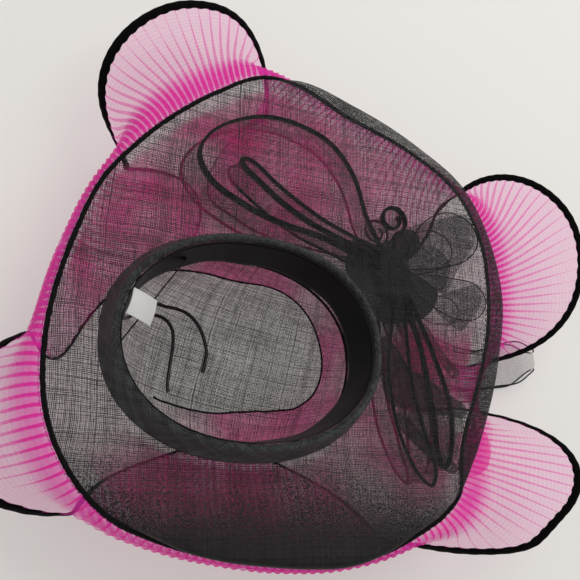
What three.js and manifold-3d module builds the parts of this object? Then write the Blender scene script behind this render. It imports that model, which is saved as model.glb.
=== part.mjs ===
// Wide brimmed sinamay hat with a pleated organza ruffle, lying upside down on its crown tip.
// Millimetres, +Z up. The origin is the middle of the flat crown tip and the head opening faces up.
import * as THREE from 'three';
import { mergeVertices } from 'three/addons/utils/BufferGeometryUtils.js';
import Module from 'manifold-3d';

const wasm = await Module();
wasm.setup();

// Head opening and crown
const headLength = 198; // opening from front to back, inside the rolled edge
const headWidth = 152; // opening from side to side
const headSquareness = 2.15; // exponent of the oval, 2 is an ellipse
const hatDepth = 112; // crown tip to rolled edge
const crownEase = 2.7; // crown outside the opening, on each side
const crownWall = 1.4;
const crownLap = 3; // crown edge standing up inside the brim
const trimHeight = 60; // level of the bias trim round the crown
const trimWidth = 4;
const trimWall = 1.5;
const seat = 0.3; // clearance between sewn pieces
const edgeSeat = 0.9; // binding from the brim's cut edge

// Collar and sweatband
const collarHeight = 25;
const collarFlare = 12; // collar foot outside the opening
const collarWall = 1.6;
const rollWidth = 6.5; // rolled edge at the top of the collar
const bandWidth = 36; // sweatband
const bandWall = 1;
const bandLean = 3.5; // sweatband's lower edge leans in
const bandDrop = 3; // sweatband's upper edge below the rolled edge

// Brim
const brimReach = 200; // mean distance from the crown's axis to the rim
const brimCurl = 30; // height scale of the rim's rise and fall
const brimWall = 1.2;
const bindingWidth = 4.5;
const bindingThickness = 3;

// Ruffle
const pleatPitch = 12.4; // measured along the rim
const pleatDepth = 5.4;
const ruffleWall = 1;
const ruffleStandoff = 1.3; // ruffle's attached edge from the binding
const hangHeight = 0.13; // velvet below the rim between lobe and fold, as a share of hatDepth
const crestReach = 20; // how far the lobes rise out of the rim before they fall
const crestRise = 13;
const lobeFlatness = 0.85; // how soon the lobes come down to their edge's level
const foldReach = 13; // how far the folded stretches leave the rim before they turn under
const velvetWidth = 9;
const velvetThickness = 2.5;
const velvetSeat = 0.7; // velvet from the ruffle's cut edge
const panelGap = 0.9;

// Bow
const bowReach = 200; // unit of the loops' shapes
const bowRibbon = 42; // height of the loops' ribbon
const bowWall = 1.2;
const bowDrop = 7; // top of the loops below the brim
const knotAngle = 29;
const knotPlace = 158; // knot from the crown's axis
const knotSize = { length: 60, width: 38, height: 30 };
const knotGap = 0.4; // knot below the brim, beyond the seat
const curlRadius = 14;
const curlGap = 8; // curl from the knot's end
const netRibbon = 13;
const netWall = 1;

// Lining details
const labelSize = { length: 24, width: 20, wall: 1 };
const labelAngle = 167;
const labelTilt = 32; // degrees below level, towards the middle
const labelHem = 3; // label below the sweatband's top
const labelGap = 1.6; // label from the sweatband
const strapWidth = 5;
const strapWall = 1.2;
const strapAngles = [128, 183];
const strapDrop = 21; // strap's ends below the rolled edge
const strapSag = 4;
const tieDiameter = 3;

const brimLevel = hatDepth - collarHeight;
const black = 0x141515;
const organza = 0xd9369a;
const hat = new THREE.Group();

// Crown outline from tip to edge: height is a share of the brim's level, size of the full oval
const crownSections = [
  { height: 0, size: 0.36 },
  { height: 0.025, size: 0.46 },
  { height: 0.077, size: 0.6 },
  { height: 0.19, size: 0.75 },
  { height: 0.385, size: 0.87 },
  { height: 0.64, size: 0.95 },
  { height: 0.97, size: 1 },
];

// Brim round the hat: angles in degrees, reach as a share of brimReach, rise as a share of brimCurl.
// The rim is the bound edge and the turn is where the cloth bends before it.
const brimStations = [
  { angle: -155, rim: 0.77, rimRise: 0.33, turn: 0.7, turnRise: 0.28 },
  { angle: -140, rim: 0.785, rimRise: 0.2, turn: 0.72, turnRise: 0.22 },
  { angle: -126, rim: 0.785, rimRise: 0.03, turn: 0.735, turnRise: 0.15 },
  { angle: -115, rim: 0.77, rimRise: -0.17, turn: 0.745, turnRise: 0.08 },
  { angle: -104, rim: 0.765, rimRise: -0.37, turn: 0.76, turnRise: 0.03 },
  { angle: -94, rim: 0.77, rimRise: -0.5, turn: 0.77, turnRise: 0.03 },
  { angle: -83, rim: 0.795, rimRise: -0.57, turn: 0.79, turnRise: 0.07 },
  { angle: -72, rim: 0.84, rimRise: -0.57, turn: 0.835, turnRise: 0.1 },
  { angle: -60, rim: 0.91, rimRise: -0.43, turn: 0.9, turnRise: 0.1 },
  { angle: -51, rim: 0.96, rimRise: -0.2, turn: 0.93, turnRise: 0.13 },
  { angle: -43, rim: 0.995, rimRise: -0.03, turn: 0.945, turnRise: 0.15 },
  { angle: -36, rim: 1.035, rimRise: 0.03, turn: 0.98, turnRise: 0.15 },
  { angle: -29, rim: 1.06, rimRise: -0.03, turn: 1.025, turnRise: 0.13 },
  { angle: -22, rim: 1.05, rimRise: -0.37, turn: 1.05, turnRise: 0.13 },
  { angle: -14, rim: 1.06, rimRise: -0.57, turn: 1.07, turnRise: 0.15 },
  { angle: -6, rim: 1.105, rimRise: -0.73, turn: 1.1, turnRise: 0.13 },
  { angle: 2, rim: 1.165, rimRise: -0.83, turn: 1.14, turnRise: 0.1 },
  { angle: 16, rim: 1.28, rimRise: -0.9, turn: 1.24, turnRise: 0 },
  { angle: 28, rim: 1.37, rimRise: -0.9, turn: 1.29, turnRise: -0.03 },
  { angle: 39, rim: 1.39, rimRise: -0.83, turn: 1.31, turnRise: -0.03 },
  { angle: 51, rim: 1.315, rimRise: -0.7, turn: 1.26, turnRise: 0 },
  { angle: 66, rim: 1.215, rimRise: -0.4, turn: 1.2, turnRise: 0.17 },
  { angle: 79, rim: 1.195, rimRise: 0.03, turn: 1.17, turnRise: 0.23 },
  { angle: 88, rim: 1.15, rimRise: 0.23, turn: 1.075, turnRise: 0.28 },
  { angle: 98, rim: 1.045, rimRise: 0.3, turn: 0.965, turnRise: 0.3 },
  { angle: 109, rim: 0.95, rimRise: 0.37, turn: 0.875, turnRise: 0.32 },
  { angle: 122, rim: 0.87, rimRise: 0.37, turn: 0.8, turnRise: 0.32 },
  { angle: 135, rim: 0.815, rimRise: 0.37, turn: 0.745, turnRise: 0.32 },
  { angle: 151, rim: 0.75, rimRise: 0.37, turn: 0.68, turnRise: 0.3 },
  { angle: 167, rim: 0.725, rimRise: 0.37, turn: 0.66, turnRise: 0.3 },
  { angle: -175, rim: 0.735, rimRise: 0.37, turn: 0.67, turnRise: 0.3 },
];

// Ruffle, one row for each lobe and for each folded stretch that follows it, anticlockwise.
// from and to are angles at the rim, edgeFrom and edgeTo those of the velvet edge. Reach 1 is the rim
// and 0 the crown. lean, spread and tilt skew the curve. height is a share of hatDepth, 0 where the
// velvet lies level with the crown tip.
const ruffleFolds = [
  { kind: 'lobe', from: 3, to: 40, edgeFrom: 3.6, edgeTo: 37.3, depth: 0.69, lean: 3.7, spread: 1.7, tilt: 0.21, height: 0.56 },
  { kind: 'fold', from: 40, to: 84, edgeFrom: 37.3, edgeTo: 80.3, depth: 0.67, lean: 8, spread: 14, tilt: 0, height: 0 },
  { kind: 'lobe', from: 84, to: 127, edgeFrom: 80.3, edgeTo: 117, depth: 0.845, lean: 11.2, spread: 0.8, tilt: 0.04, height: 0.58 },
  { kind: 'fold', from: 127, to: 180, edgeFrom: 117, edgeTo: 174.8, depth: 0.88, lean: -12, spread: 20, tilt: 0, height: 0 },
  { kind: 'lobe', from: 180, to: 229, edgeFrom: 174.8, edgeTo: 227.8, depth: 1.26, lean: 0, spread: -8.4, tilt: 0.1, height: 0.48 },
  { kind: 'fold', from: 229, to: 316, edgeFrom: 227.8, edgeTo: 316.6, depth: 1.2, lean: 0, spread: 5, tilt: 0, height: 0 },
  { kind: 'lobe', from: 316, to: 354, edgeFrom: 316.6, edgeTo: 353.4, depth: 1.05, lean: 3.4, spread: -1.7, tilt: -0.24, height: 0.66 },
  { kind: 'fold', from: 354, to: 363, edgeFrom: 353.4, edgeTo: 363.6, depth: 0.55, lean: 0, spread: 4, tilt: 0, height: 0.22 },
];

// Bow loops seen from above, as shares of bowReach from the knot
const bowLoops = [
  {
    name: 'bow_loop_long', ribbon: 1, lean: -7,
    turns: [
      [-0.04, 0.08], [-0.13, 0.25], [-0.19, 0.44], [-0.3, 0.575], [-0.45, 0.635], [-0.6, 0.64], [-0.74, 0.59],
      [-0.84, 0.51], [-0.88, 0.42], [-0.83, 0.315], [-0.69, 0.225], [-0.51, 0.165], [-0.33, 0.13], [-0.17, 0.07],
      [-0.06, 0.02],
    ],
  },
  {
    name: 'bow_loop_upper', ribbon: 0.85, lean: -5,
    turns: [
      [0.05, 0.09], [0.135, 0.25], [0.27, 0.33], [0.39, 0.3], [0.43, 0.205], [0.36, 0.11], [0.21, 0.055],
      [0.07, 0.03],
    ],
  },
  {
    name: 'bow_loop_inner', ribbon: 0.7, lean: -5,
    turns: [
      [-0.05, 0.075], [-0.2, 0.15], [-0.335, 0.205], [-0.45, 0.27], [-0.56, 0.345], [-0.66, 0.422], [-0.7, 0.425],
      [-0.69, 0.395], [-0.62, 0.335], [-0.51, 0.254], [-0.4, 0.19], [-0.2, 0.115], [-0.06, 0.05],
    ],
  },
  {
    name: 'bow_loop_side', ribbon: 0.9, lean: -5,
    turns: [
      [0.06, 0.01], [0.27, 0.015], [0.4, 0], [0.45, -0.07], [0.4, -0.155], [0.27, -0.165], [0.15, -0.11],
      [0.06, -0.04],
    ],
  },
  {
    name: 'bow_loop_narrow', ribbon: 1, lean: 4,
    turns: [
      [0, -0.09], [-0.04, -0.285], [-0.05, -0.485], [-0.01, -0.685], [0.07, -0.84], [0.13, -0.88], [0.15, -0.83],
      [0.11, -0.685], [0.06, -0.485], [0.04, -0.285], [0.03, -0.09],
    ],
  },
  {
    name: 'bow_loop_lower', ribbon: 1.05, lean: 4,
    turns: [
      [0.07, -0.1], [0.16, -0.31], [0.235, -0.535], [0.235, -0.71], [0.2, -0.805], [0.17, -0.75], [0.16, -0.62],
      [0.135, -0.435], [0.1, -0.27], [0.05, -0.12],
    ],
  },
];

// Net loop from above as shares of bowReach from the knot, with its top edge's height as a share of brimLevel
const netTurns = [
  [0.04, -0.04, 0.6], [0.07, -0.08, 0.4], [0.15, -0.11, 0.25], [0.33, -0.145, 0.149], [0.54, -0.16, 0.149],
  [0.76, -0.165, 0.149], [0.88, -0.2, 0.149], [0.92, -0.27, 0.149], [0.84, -0.335, 0.149], [0.69, -0.35, 0.149],
  [0.52, -0.31, 0.149], [0.36, -0.25, 0.16], [0.2, -0.19, 0.28], [0.1, -0.14, 0.4], [0.04, -0.1, 0.6],
];

// Routes of the two free tie ends, in millimetres: out of the sweatband, down the crown's wall and
// along its tip
const tieRoutes = {
  tie_long: [
    [-89.6, 27.4, 72.2], [-88.5, 27.6, 66], [-86, 28.5, 57.5], [-81, 33.5, 49.5], [-72, 39, 38.7], [-60, 43, 29],
    [-48, 44, 19.8], [-37, 44, 15.7], [-27, 42, 11.6], [-19, 37, 8.3], [-13, 30, 5.5], [-9, 21, 4.1],
    [-7, 12, 3.9], [-8, 3, 3.9], [-10, -6, 3.9],
  ],
  tie_short: [
    [-91.3, 19.8, 72.2], [-90.3, 20, 66], [-88, 20.5, 57.5], [-84, 24, 45.7], [-76, 30, 34.5], [-65, 34, 25],
    [-54, 36, 17.8], [-45, 34, 12.8], [-39, 28, 9], [-37, 20, 6.4], [-37, 11, 5.1], [-38, 2, 4.8], [-39, -7, 5.2],
    [-40, -16, 6.3], [-40, -25, 8.2],
  ],
};

const radians = (degrees) => (degrees * Math.PI) / 180;
const mix = (a, b, t) => a + (b - a) * t;

function addMesh(name, geometry, color, roughness) {
  geometry.computeVertexNormals();
  const material = new THREE.MeshStandardMaterial({ color, roughness, metalness: 0 });
  const mesh = new THREE.Mesh(geometry, material);
  mesh.name = name;
  hat.add(mesh);
}

// Closed solid from points and triangles, turned outside out if its volume comes out negative
function closedSolid(points, triangles) {
  let volume = 0;
  for (const [a, b, c] of triangles) {
    volume += points[a].dot(points[b].clone().cross(points[c]));
  }
  const faces = volume < 0 ? triangles.map(([a, b, c]) => [a, c, b]) : triangles;
  const geometry = new THREE.BufferGeometry();
  geometry.setAttribute('position', new THREE.Float32BufferAttribute(points.flatMap((p) => p.toArray()), 3));
  geometry.setIndex(faces.flat());
  return geometry;
}

// Sheet with two faces: front[i][j] and back[i][j] are grids of points, closed round in i if asked
function sheetSolid(front, back, closedRound) {
  const columns = front.length;
  const rows = front[0].length;
  const points = [...front.flat(), ...back.flat()];
  const at = (side, i, j) => side * columns * rows + (i % columns) * rows + j;
  const triangles = [];
  const quad = (a, b, c, d) => triangles.push([a, b, c], [a, c, d]);
  const spans = closedRound ? columns : columns - 1;
  for (let i = 0; i < spans; i += 1) {
    for (let j = 0; j < rows - 1; j += 1) {
      quad(at(0, i, j), at(0, i + 1, j), at(0, i + 1, j + 1), at(0, i, j + 1));
      quad(at(1, i, j), at(1, i, j + 1), at(1, i + 1, j + 1), at(1, i + 1, j));
    }
    quad(at(0, i, 0), at(1, i, 0), at(1, i + 1, 0), at(0, i + 1, 0));
    quad(at(0, i, rows - 1), at(0, i + 1, rows - 1), at(1, i + 1, rows - 1), at(1, i, rows - 1));
  }
  if (!closedRound) {
    for (let j = 0; j < rows - 1; j += 1) {
      const last = columns - 1;
      quad(at(0, 0, j), at(0, 0, j + 1), at(1, 0, j + 1), at(1, 0, j));
      quad(at(0, last, j), at(1, last, j), at(1, last, j + 1), at(0, last, j + 1));
    }
  }
  return closedSolid(points, triangles);
}

// Solid ring: section(angle) gives the closed outline as points, the same number at each angle
function ringSolid(count, section) {
  const rings = [];
  for (let i = 0; i < count; i += 1) {
    rings.push(section((360 * i) / count));
  }
  const sides = rings[0].length;
  const triangles = [];
  for (let i = 0; i < count; i += 1) {
    const next = (i + 1) % count;
    for (let k = 0; k < sides; k += 1) {
      const up = (k + 1) % sides;
      triangles.push([i * sides + k, next * sides + k, next * sides + up]);
      triangles.push([i * sides + k, next * sides + up, i * sides + up]);
    }
  }
  return closedSolid(rings.flat(), triangles);
}

// Radius of the head oval at an angle, grown by an offset and scaled by a share
function ovalRadius(angle, offset, share = 1) {
  const across = Math.abs(Math.cos(radians(angle))) / ((headLength / 2 + offset) * share);
  const along = Math.abs(Math.sin(radians(angle))) / ((headWidth / 2 + offset) * share);
  return (across ** headSquareness + along ** headSquareness) ** (-1 / headSquareness);
}

function polar(angle, radius, height) {
  return new THREE.Vector3(radius * Math.cos(radians(angle)), radius * Math.sin(radians(angle)), height);
}

// Smooth value of one column of the brim's table at any angle
function brimValue(angle, column) {
  const rows = brimStations.map((row) => ({ angle: (row.angle + 720) % 360, value: row[column] }));
  rows.sort((a, b) => a.angle - b.angle);
  const count = rows.length;
  const turned = ((angle % 360) + 360) % 360;
  const found = rows.findIndex((row) => row.angle > turned);
  const next = found < 0 ? count : found;
  const place = (k) => rows[(k + count) % count].angle + 360 * Math.floor(k / count);
  const value = (k) => rows[(k + count) % count].value;
  const slope = (k) => (value(k + 1) - value(k - 1)) / (place(k + 1) - place(k - 1));
  const span = place(next) - place(next - 1);
  const t = (turned - place(next - 1)) / span;
  const start = value(next - 1) * (1 + 2 * t) * (1 - t) ** 2 + span * slope(next - 1) * t * (1 - t) ** 2;
  const end = value(next) * (3 - 2 * t) * t ** 2 + span * slope(next) * t ** 2 * (t - 1);
  return start + end;
}

// Brim's middle surface: row 0 is the crown seam, 1 the collar's foot, 2 the middle, 3 the turn, 4 the rim
function brimPoint(angle, row) {
  const seam = ovalRadius(angle, crownEase + seat);
  const foot = ovalRadius(angle, collarFlare + collarWall);
  const turn = brimReach * brimValue(angle, 'turn');
  const turnLevel = brimLevel + brimCurl * brimValue(angle, 'turnRise');
  const rim = brimReach * brimValue(angle, 'rim');
  const rimLevel = brimLevel + brimCurl * brimValue(angle, 'rimRise');
  const stops = [
    polar(angle, seam, brimLevel),
    polar(angle, foot, brimLevel),
    polar(angle, mix(foot, turn, 0.5), mix(brimLevel, turnLevel, 0.6)),
    polar(angle, turn, turnLevel),
    polar(angle, rim, rimLevel),
  ];
  const start = Math.min(Math.floor(row), stops.length - 2);
  const t = row - start;
  const before = stops[Math.max(start - 1, 0)];
  const after = stops[Math.min(start + 2, stops.length - 1)];
  const from = stops[start];
  const to = stops[start + 1];
  const curve = (axis) => {
    const leave = (to[axis] - before[axis]) / 2;
    const arrive = (after[axis] - from[axis]) / 2;
    const a = 2 * from[axis] - 2 * to[axis] + leave + arrive;
    const b = 3 * to[axis] - 3 * from[axis] - 2 * leave - arrive;
    return a * t ** 3 + b * t ** 2 + leave * t + from[axis];
  };
  return start === 0 ? from.clone().lerp(to, t) : new THREE.Vector3(curve('x'), curve('y'), curve('z'));
}

function brimNormal(angle, row) {
  const step = 0.05;
  const low = Math.max(row - step, 0);
  const high = Math.min(row + step, 4);
  const across = brimPoint(angle, high).sub(brimPoint(angle, low));
  const round = brimPoint(angle + step, row).sub(brimPoint(angle - step, row));
  return across.cross(round).normalize().negate();
}

// Direction in which the brim's cloth runs off its rim
function rimDirection(angle) {
  return brimPoint(angle, 4).sub(brimPoint(angle, 3.9)).normalize();
}

function buildCrown() {
  const count = 36;
  const lap = { height: 1 + crownLap / brimLevel, size: 1 };
  const sections = [...crownSections, lap];
  const points = [new THREE.Vector3(0, 0, 0), new THREE.Vector3(0, 0, crownWall)];
  const outer = (row, i) => 2 + row * count + (i % count);
  const inner = (row, i) => outer(sections.length + row, i);
  for (const { height, size } of sections) {
    for (let i = 0; i < count; i += 1) {
      const angle = (360 * i) / count;
      points.push(polar(angle, ovalRadius(angle, crownEase, size), brimLevel * height));
    }
  }
  for (const { height, size } of sections) {
    const lift = crownWall * Math.max(0, 1 - 3 * height);
    for (let i = 0; i < count; i += 1) {
      const angle = (360 * i) / count;
      const inset = crownWall * (height > 0 ? 1 : 0.5);
      points.push(polar(angle, ovalRadius(angle, crownEase, size) - inset, brimLevel * height + lift));
    }
  }
  const top = sections.length - 1;
  for (let k = outer(top, 0); k < outer(top, 0) + count; k += 1) {
    points[k + sections.length * count].z = points[k].z;
  }
  const triangles = [];
  for (let i = 0; i < count; i += 1) {
    triangles.push([0, outer(0, i + 1), outer(0, i)], [1, inner(0, i), inner(0, i + 1)]);
    for (let row = 0; row < top; row += 1) {
      triangles.push([outer(row, i), outer(row, i + 1), outer(row + 1, i + 1)]);
      triangles.push([outer(row, i), outer(row + 1, i + 1), outer(row + 1, i)]);
      triangles.push([inner(row, i), inner(row + 1, i + 1), inner(row, i + 1)]);
      triangles.push([inner(row, i), inner(row + 1, i), inner(row + 1, i + 1)]);
    }
    triangles.push([outer(top, i), outer(top, i + 1), inner(top, i + 1)]);
    triangles.push([outer(top, i), inner(top, i + 1), inner(top, i)]);
  }
  addMesh('crown', closedSolid(points, triangles), black, 0.8);
}

// Crown's outer size share at a height, straight between the sections
function crownSize(height) {
  const share = height / brimLevel;
  const next = crownSections.findIndex((section) => section.height >= share);
  if (next < 0) {
    return 1;
  }
  if (next === 0) {
    return crownSections[0].size;
  }
  const low = crownSections[next - 1];
  const high = crownSections[next];
  return mix(low.size, high.size, (share - low.height) / (high.height - low.height));
}

function buildCrownTrim() {
  const half = trimWidth / 2;
  addMesh('crown_trim', ringSolid(36, (angle) => {
    const edge = (height, out) => polar(angle, ovalRadius(angle, crownEase, crownSize(height)) + out, height);
    const low = trimHeight - half;
    const high = trimHeight + half;
    return [edge(low, seat), edge(high, seat), edge(high, seat + trimWall), edge(low, seat + trimWall)];
  }), black, 0.7);
}

// Collar: a wall that flares to its foot on the brim, with its top edge rolled inwards
function buildCollar() {
  const foot = brimLevel + brimWall / 2 + seat;
  const tall = hatDepth - foot;
  const outline = [
    [collarFlare, 0],
    [mix(rollWidth, collarFlare, 0.35), 0.35],
    [rollWidth, 0.75],
    [rollWidth * 0.8, 0.95],
    [rollWidth * 0.4, 1],
    [0, 0.87],
    [rollWidth - collarWall, 0.62],
    [mix(rollWidth, collarFlare, 0.35) - collarWall, 0.3],
    [collarFlare - collarWall, 0],
  ];
  addMesh('collar', ringSolid(36, (angle) => outline.map(([offset, share]) => (
    polar(angle, ovalRadius(angle, offset), foot + tall * share)
  ))), 0x1b2120, 0.75);
}

// Inner face of the sweatband at a height
function bandRadius(angle, height) {
  const top = hatDepth - bandDrop;
  const lean = bandLean * Math.min(1, Math.max(0, (top - height) / bandWidth));
  return ovalRadius(angle, -seat - lean) - bandWall;
}

function buildSweatband() {
  const top = hatDepth - bandDrop;
  addMesh('sweatband', ringSolid(36, (angle) => [0, 1, 1, 0].map((share, k) => {
    const height = top - bandWidth * share;
    return polar(angle, bandRadius(angle, height) + (k < 2 ? 0 : bandWall), height);
  })), black, 0.4);
}

function buildBrim() {
  const rows = [0, 1, 2, 3, 3.5, 4];
  const count = 60;
  const faces = [1, -1].map((side) => Array.from({ length: count }, (_, i) => rows.map((row) => {
    const angle = (360 * i) / count;
    return brimPoint(angle, row).addScaledVector(brimNormal(angle, row), (side * brimWall) / 2);
  })));
  addMesh('brim', sheetSolid(faces[0], faces[1], true), black, 0.8);
}

function buildBinding() {
  const corners = [[0, -0.4], [0, 0.4], [0.5, 0.5], [1, 0], [0.5, -0.5]];
  addMesh('brim_binding', ringSolid(60, (angle) => {
    const away = rimDirection(angle);
    const up = brimNormal(angle, 4);
    return corners.map(([out, side]) => brimPoint(angle, 4)
      .addScaledVector(away, edgeSeat + bindingWidth * out)
      .addScaledVector(up, bindingThickness * side));
  }), black, 0.9);
}

// Ruffle's attached edge, just outside the binding
function ruffleBase(angle) {
  return brimPoint(angle, 4).addScaledVector(rimDirection(angle), edgeSeat + bindingWidth + ruffleStandoff);
}

// Velvet edge for the rim angle it belongs to, and how far the stretch is a lobe (1) or a fold (-1)
function ruffleEdge(angle) {
  const start = ruffleFolds[0].from;
  const turned = start + ((((angle - start) % 360) + 360) % 360);
  const fold = ruffleFolds.find((row) => turned <= row.to);
  const turn = (Math.PI * (turned - fold.from)) / (fold.to - fold.from);
  const swell = Math.sin(turn);
  const middle = (fold.edgeFrom + fold.edgeTo) / 2;
  const half = (fold.edgeTo - fold.edgeFrom) / 2;
  const skew = fold.lean * swell - fold.spread * Math.sin(2 * turn);
  const edgeAngle = middle - half * Math.cos(turn) + skew;
  const side = fold.kind === 'lobe' ? 1 : -1;
  const reach = 1 + side * fold.depth * (swell + fold.tilt * Math.sin(2 * turn));
  const crown = ovalRadius(edgeAngle, crownEase);
  const rim = ruffleBase(edgeAngle);
  const radius = mix(crown, Math.hypot(rim.x, rim.y), reach);
  const height = velvetThickness / 2 + hatDepth * mix(hangHeight, fold.height, swell ** 0.6);
  return { point: polar(edgeAngle, radius, height), lobe: side * swell };
}

// Middle surface of the ruffle: v runs from the rim to the velvet's outer edge
function rufflePoint(angle, v) {
  const base = ruffleBase(angle);
  const { point, lobe } = ruffleEdge(angle);
  const weight = 0.5 + 0.5 * Math.sin((Math.PI / 2) * lobe);
  const step = 0.5;
  const along = brimPoint(angle + step, 4).sub(brimPoint(angle - step, 4)).setZ(0).normalize();
  const out = new THREE.Vector3(along.y, -along.x, 0);
  const lobeFirst = base.clone().addScaledVector(out, crestReach);
  lobeFirst.z += crestRise;
  const lobeSecond = base.clone().lerp(point, 0.55);
  lobeSecond.z = mix(base.z, point.z, lobeFlatness) + crestRise / 4;
  const foldFirst = base.clone().addScaledVector(out, foldReach);
  const foldSecond = base.clone().addScaledVector(out, foldReach * 0.6);
  foldSecond.z = mix(base.z, point.z, 0.9);
  const first = foldFirst.lerp(lobeFirst, weight);
  const second = foldSecond.lerp(lobeSecond, weight);
  const w = 1 - v;
  return base.multiplyScalar(w ** 3)
    .addScaledVector(first, 3 * w * w * v)
    .addScaledVector(second, 3 * w * v * v)
    .addScaledVector(point, v ** 3);
}

function ruffleNormal(angle, v) {
  const turn = 0.2;
  const slide = 0.01;
  const round = rufflePoint(angle + turn, v).sub(rufflePoint(angle - turn, v));
  const across = rufflePoint(angle, Math.min(v + slide, 1)).sub(rufflePoint(angle, Math.max(v - slide, 0)));
  return round.cross(across).normalize();
}

// Share of the way from rim to velvet edge that lies a given length short of the edge
function shareBeforeEdge(angle, length) {
  const step = 0.01;
  let share = 1;
  let walked = 0;
  let here = rufflePoint(angle, share);
  while (walked < length) {
    const next = rufflePoint(angle, share - step);
    const stretch = here.distanceTo(next);
    if (walked + stretch >= length) {
      return share - (step * (length - walked)) / stretch;
    }
    walked += stretch;
    share -= step;
    here = next;
  }
  return share;
}

// Rim angles at equal steps of length along the rim, between two angles
function rimSteps(from, to, count) {
  const fine = 400;
  const lengths = [0];
  for (let k = 1; k <= fine; k += 1) {
    const here = brimPoint(mix(from, to, k / fine), 4);
    const last = brimPoint(mix(from, to, (k - 1) / fine), 4);
    lengths.push(lengths[k - 1] + here.distanceTo(last));
  }
  const total = lengths[fine];
  const angleAt = (length) => {
    const k = Math.max(1, lengths.findIndex((value) => value >= length - 1e-9));
    const t = (length - lengths[k - 1]) / (lengths[k] - lengths[k - 1]);
    return mix(from, to, (k - 1 + t) / fine);
  };
  const spare = panelGap / 2;
  const steps = count(total);
  return Array.from({ length: steps + 1 }, (_, i) => angleAt(mix(spare, total - spare, i / steps)));
}

// One panel of the ruffle round each lobe, from the middle of one folded stretch to that of the next
function buildRuffle() {
  const turns = ruffleFolds.filter((row) => row.kind === 'fold').map((row) => (row.from + row.to) / 2);
  turns.forEach((to, index) => {
    const from = index === 0 ? turns[turns.length - 1] - 360 : turns[index - 1];
    const angles = rimSteps(from, to, (total) => 2 * Math.round(total / pleatPitch));
    const rows = [0, 0.3, 0.62, 1];
    const face = (side) => angles.map((angle, i) => {
      const { lobe } = ruffleEdge(angle);
      const spread = Math.max(0, lobe);
      const end = shareBeforeEdge(angle, velvetWidth + velvetSeat);
      return rows.map((row) => {
        const v = row * end;
        const depth = pleatDepth * mix(0.15 + 0.85 * Math.min(1, 4 * v), 0.35, spread * v);
        const fold = (i % 2 === 0 ? 0.5 : -0.5) * depth;
        return rufflePoint(angle, v).addScaledVector(ruffleNormal(angle, v), fold + (side * ruffleWall) / 2);
      });
    });
    const band = (growth) => {
      const side = (sign) => angles.map((angle) => [shareBeforeEdge(angle, velvetWidth + growth), 1].map((v) => {
        const away = sign * (velvetThickness / 2 + growth);
        return rufflePoint(angle, v).addScaledVector(ruffleNormal(angle, Math.min(v, 0.98)), away);
      }));
      return sheetSolid(side(1), side(-1), false);
    };
    let trimmed = toManifold(sheetSolid(face(1), face(-1), false));
    for (const growth of [seat, seat / 2, 0]) {
      trimmed = trimmed.subtract(toManifold(band(growth)));
    }
    const bodies = trimmed.decompose().sort((a, b) => b.volume() - a.volume());
    addMesh(`ruffle_panel_${index + 1}`, fromManifold(bodies[0]), organza, 0.6);
    addMesh(`velvet_edge_${index + 1}`, band(0), 0x0b0b0b, 0.95);
  });
}

function knotCentre() {
  const underside = brimPoint(knotAngle, 2).z - brimWall / 2 - seat;
  return polar(knotAngle, knotPlace, underside - knotSize.height / 2 - knotGap);
}

function knotShape(growth) {
  const shape = new THREE.SphereGeometry(1, 12, 8);
  shape.rotateX(Math.PI / 2);
  shape.scale(knotSize.width / 2 + growth, knotSize.length / 2 + growth, knotSize.height / 2 + growth);
  shape.rotateZ(radians(knotAngle) / 2);
  shape.translate(...knotCentre().toArray());
  return shape;
}

function toManifold(geometry) {
  const bare = geometry.clone();
  bare.deleteAttribute('normal');
  bare.deleteAttribute('uv');
  const merged = mergeVertices(bare, 1e-4);
  const mesh = new wasm.Mesh({
    numProp: 3,
    vertProperties: Float32Array.from(merged.attributes.position.array),
    triVerts: Uint32Array.from(merged.index.array),
  });
  return new wasm.Manifold(mesh);
}

function fromManifold(solid) {
  const mesh = solid.getMesh();
  const geometry = new THREE.BufferGeometry();
  geometry.setAttribute('position', new THREE.Float32BufferAttribute(Array.from(mesh.vertProperties), 3));
  geometry.setIndex(Array.from(mesh.triVerts));
  return geometry;
}

// Upright ribbon along a route given by its top edge; lean moves the lower edge outwards
function ribbonSolid(route, steps, height, wall, lean) {
  const tops = new THREE.CatmullRomCurve3(route, false, 'centripetal').getSpacedPoints(steps);
  const side = tops.map((_, i) => {
    const along = tops[Math.min(i + 1, steps)].clone().sub(tops[Math.max(i - 1, 0)]);
    return new THREE.Vector3(-along.y, along.x, 0).normalize();
  });
  const face = (sign) => tops.map((top, i) => {
    const upper = top.clone().addScaledVector(side[i], (sign * wall) / 2);
    const lower = upper.clone().addScaledVector(side[i], lean);
    lower.z = Math.max(0, top.z - height);
    return [upper, lower];
  });
  return sheetSolid(face(1), face(-1), false);
}

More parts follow.
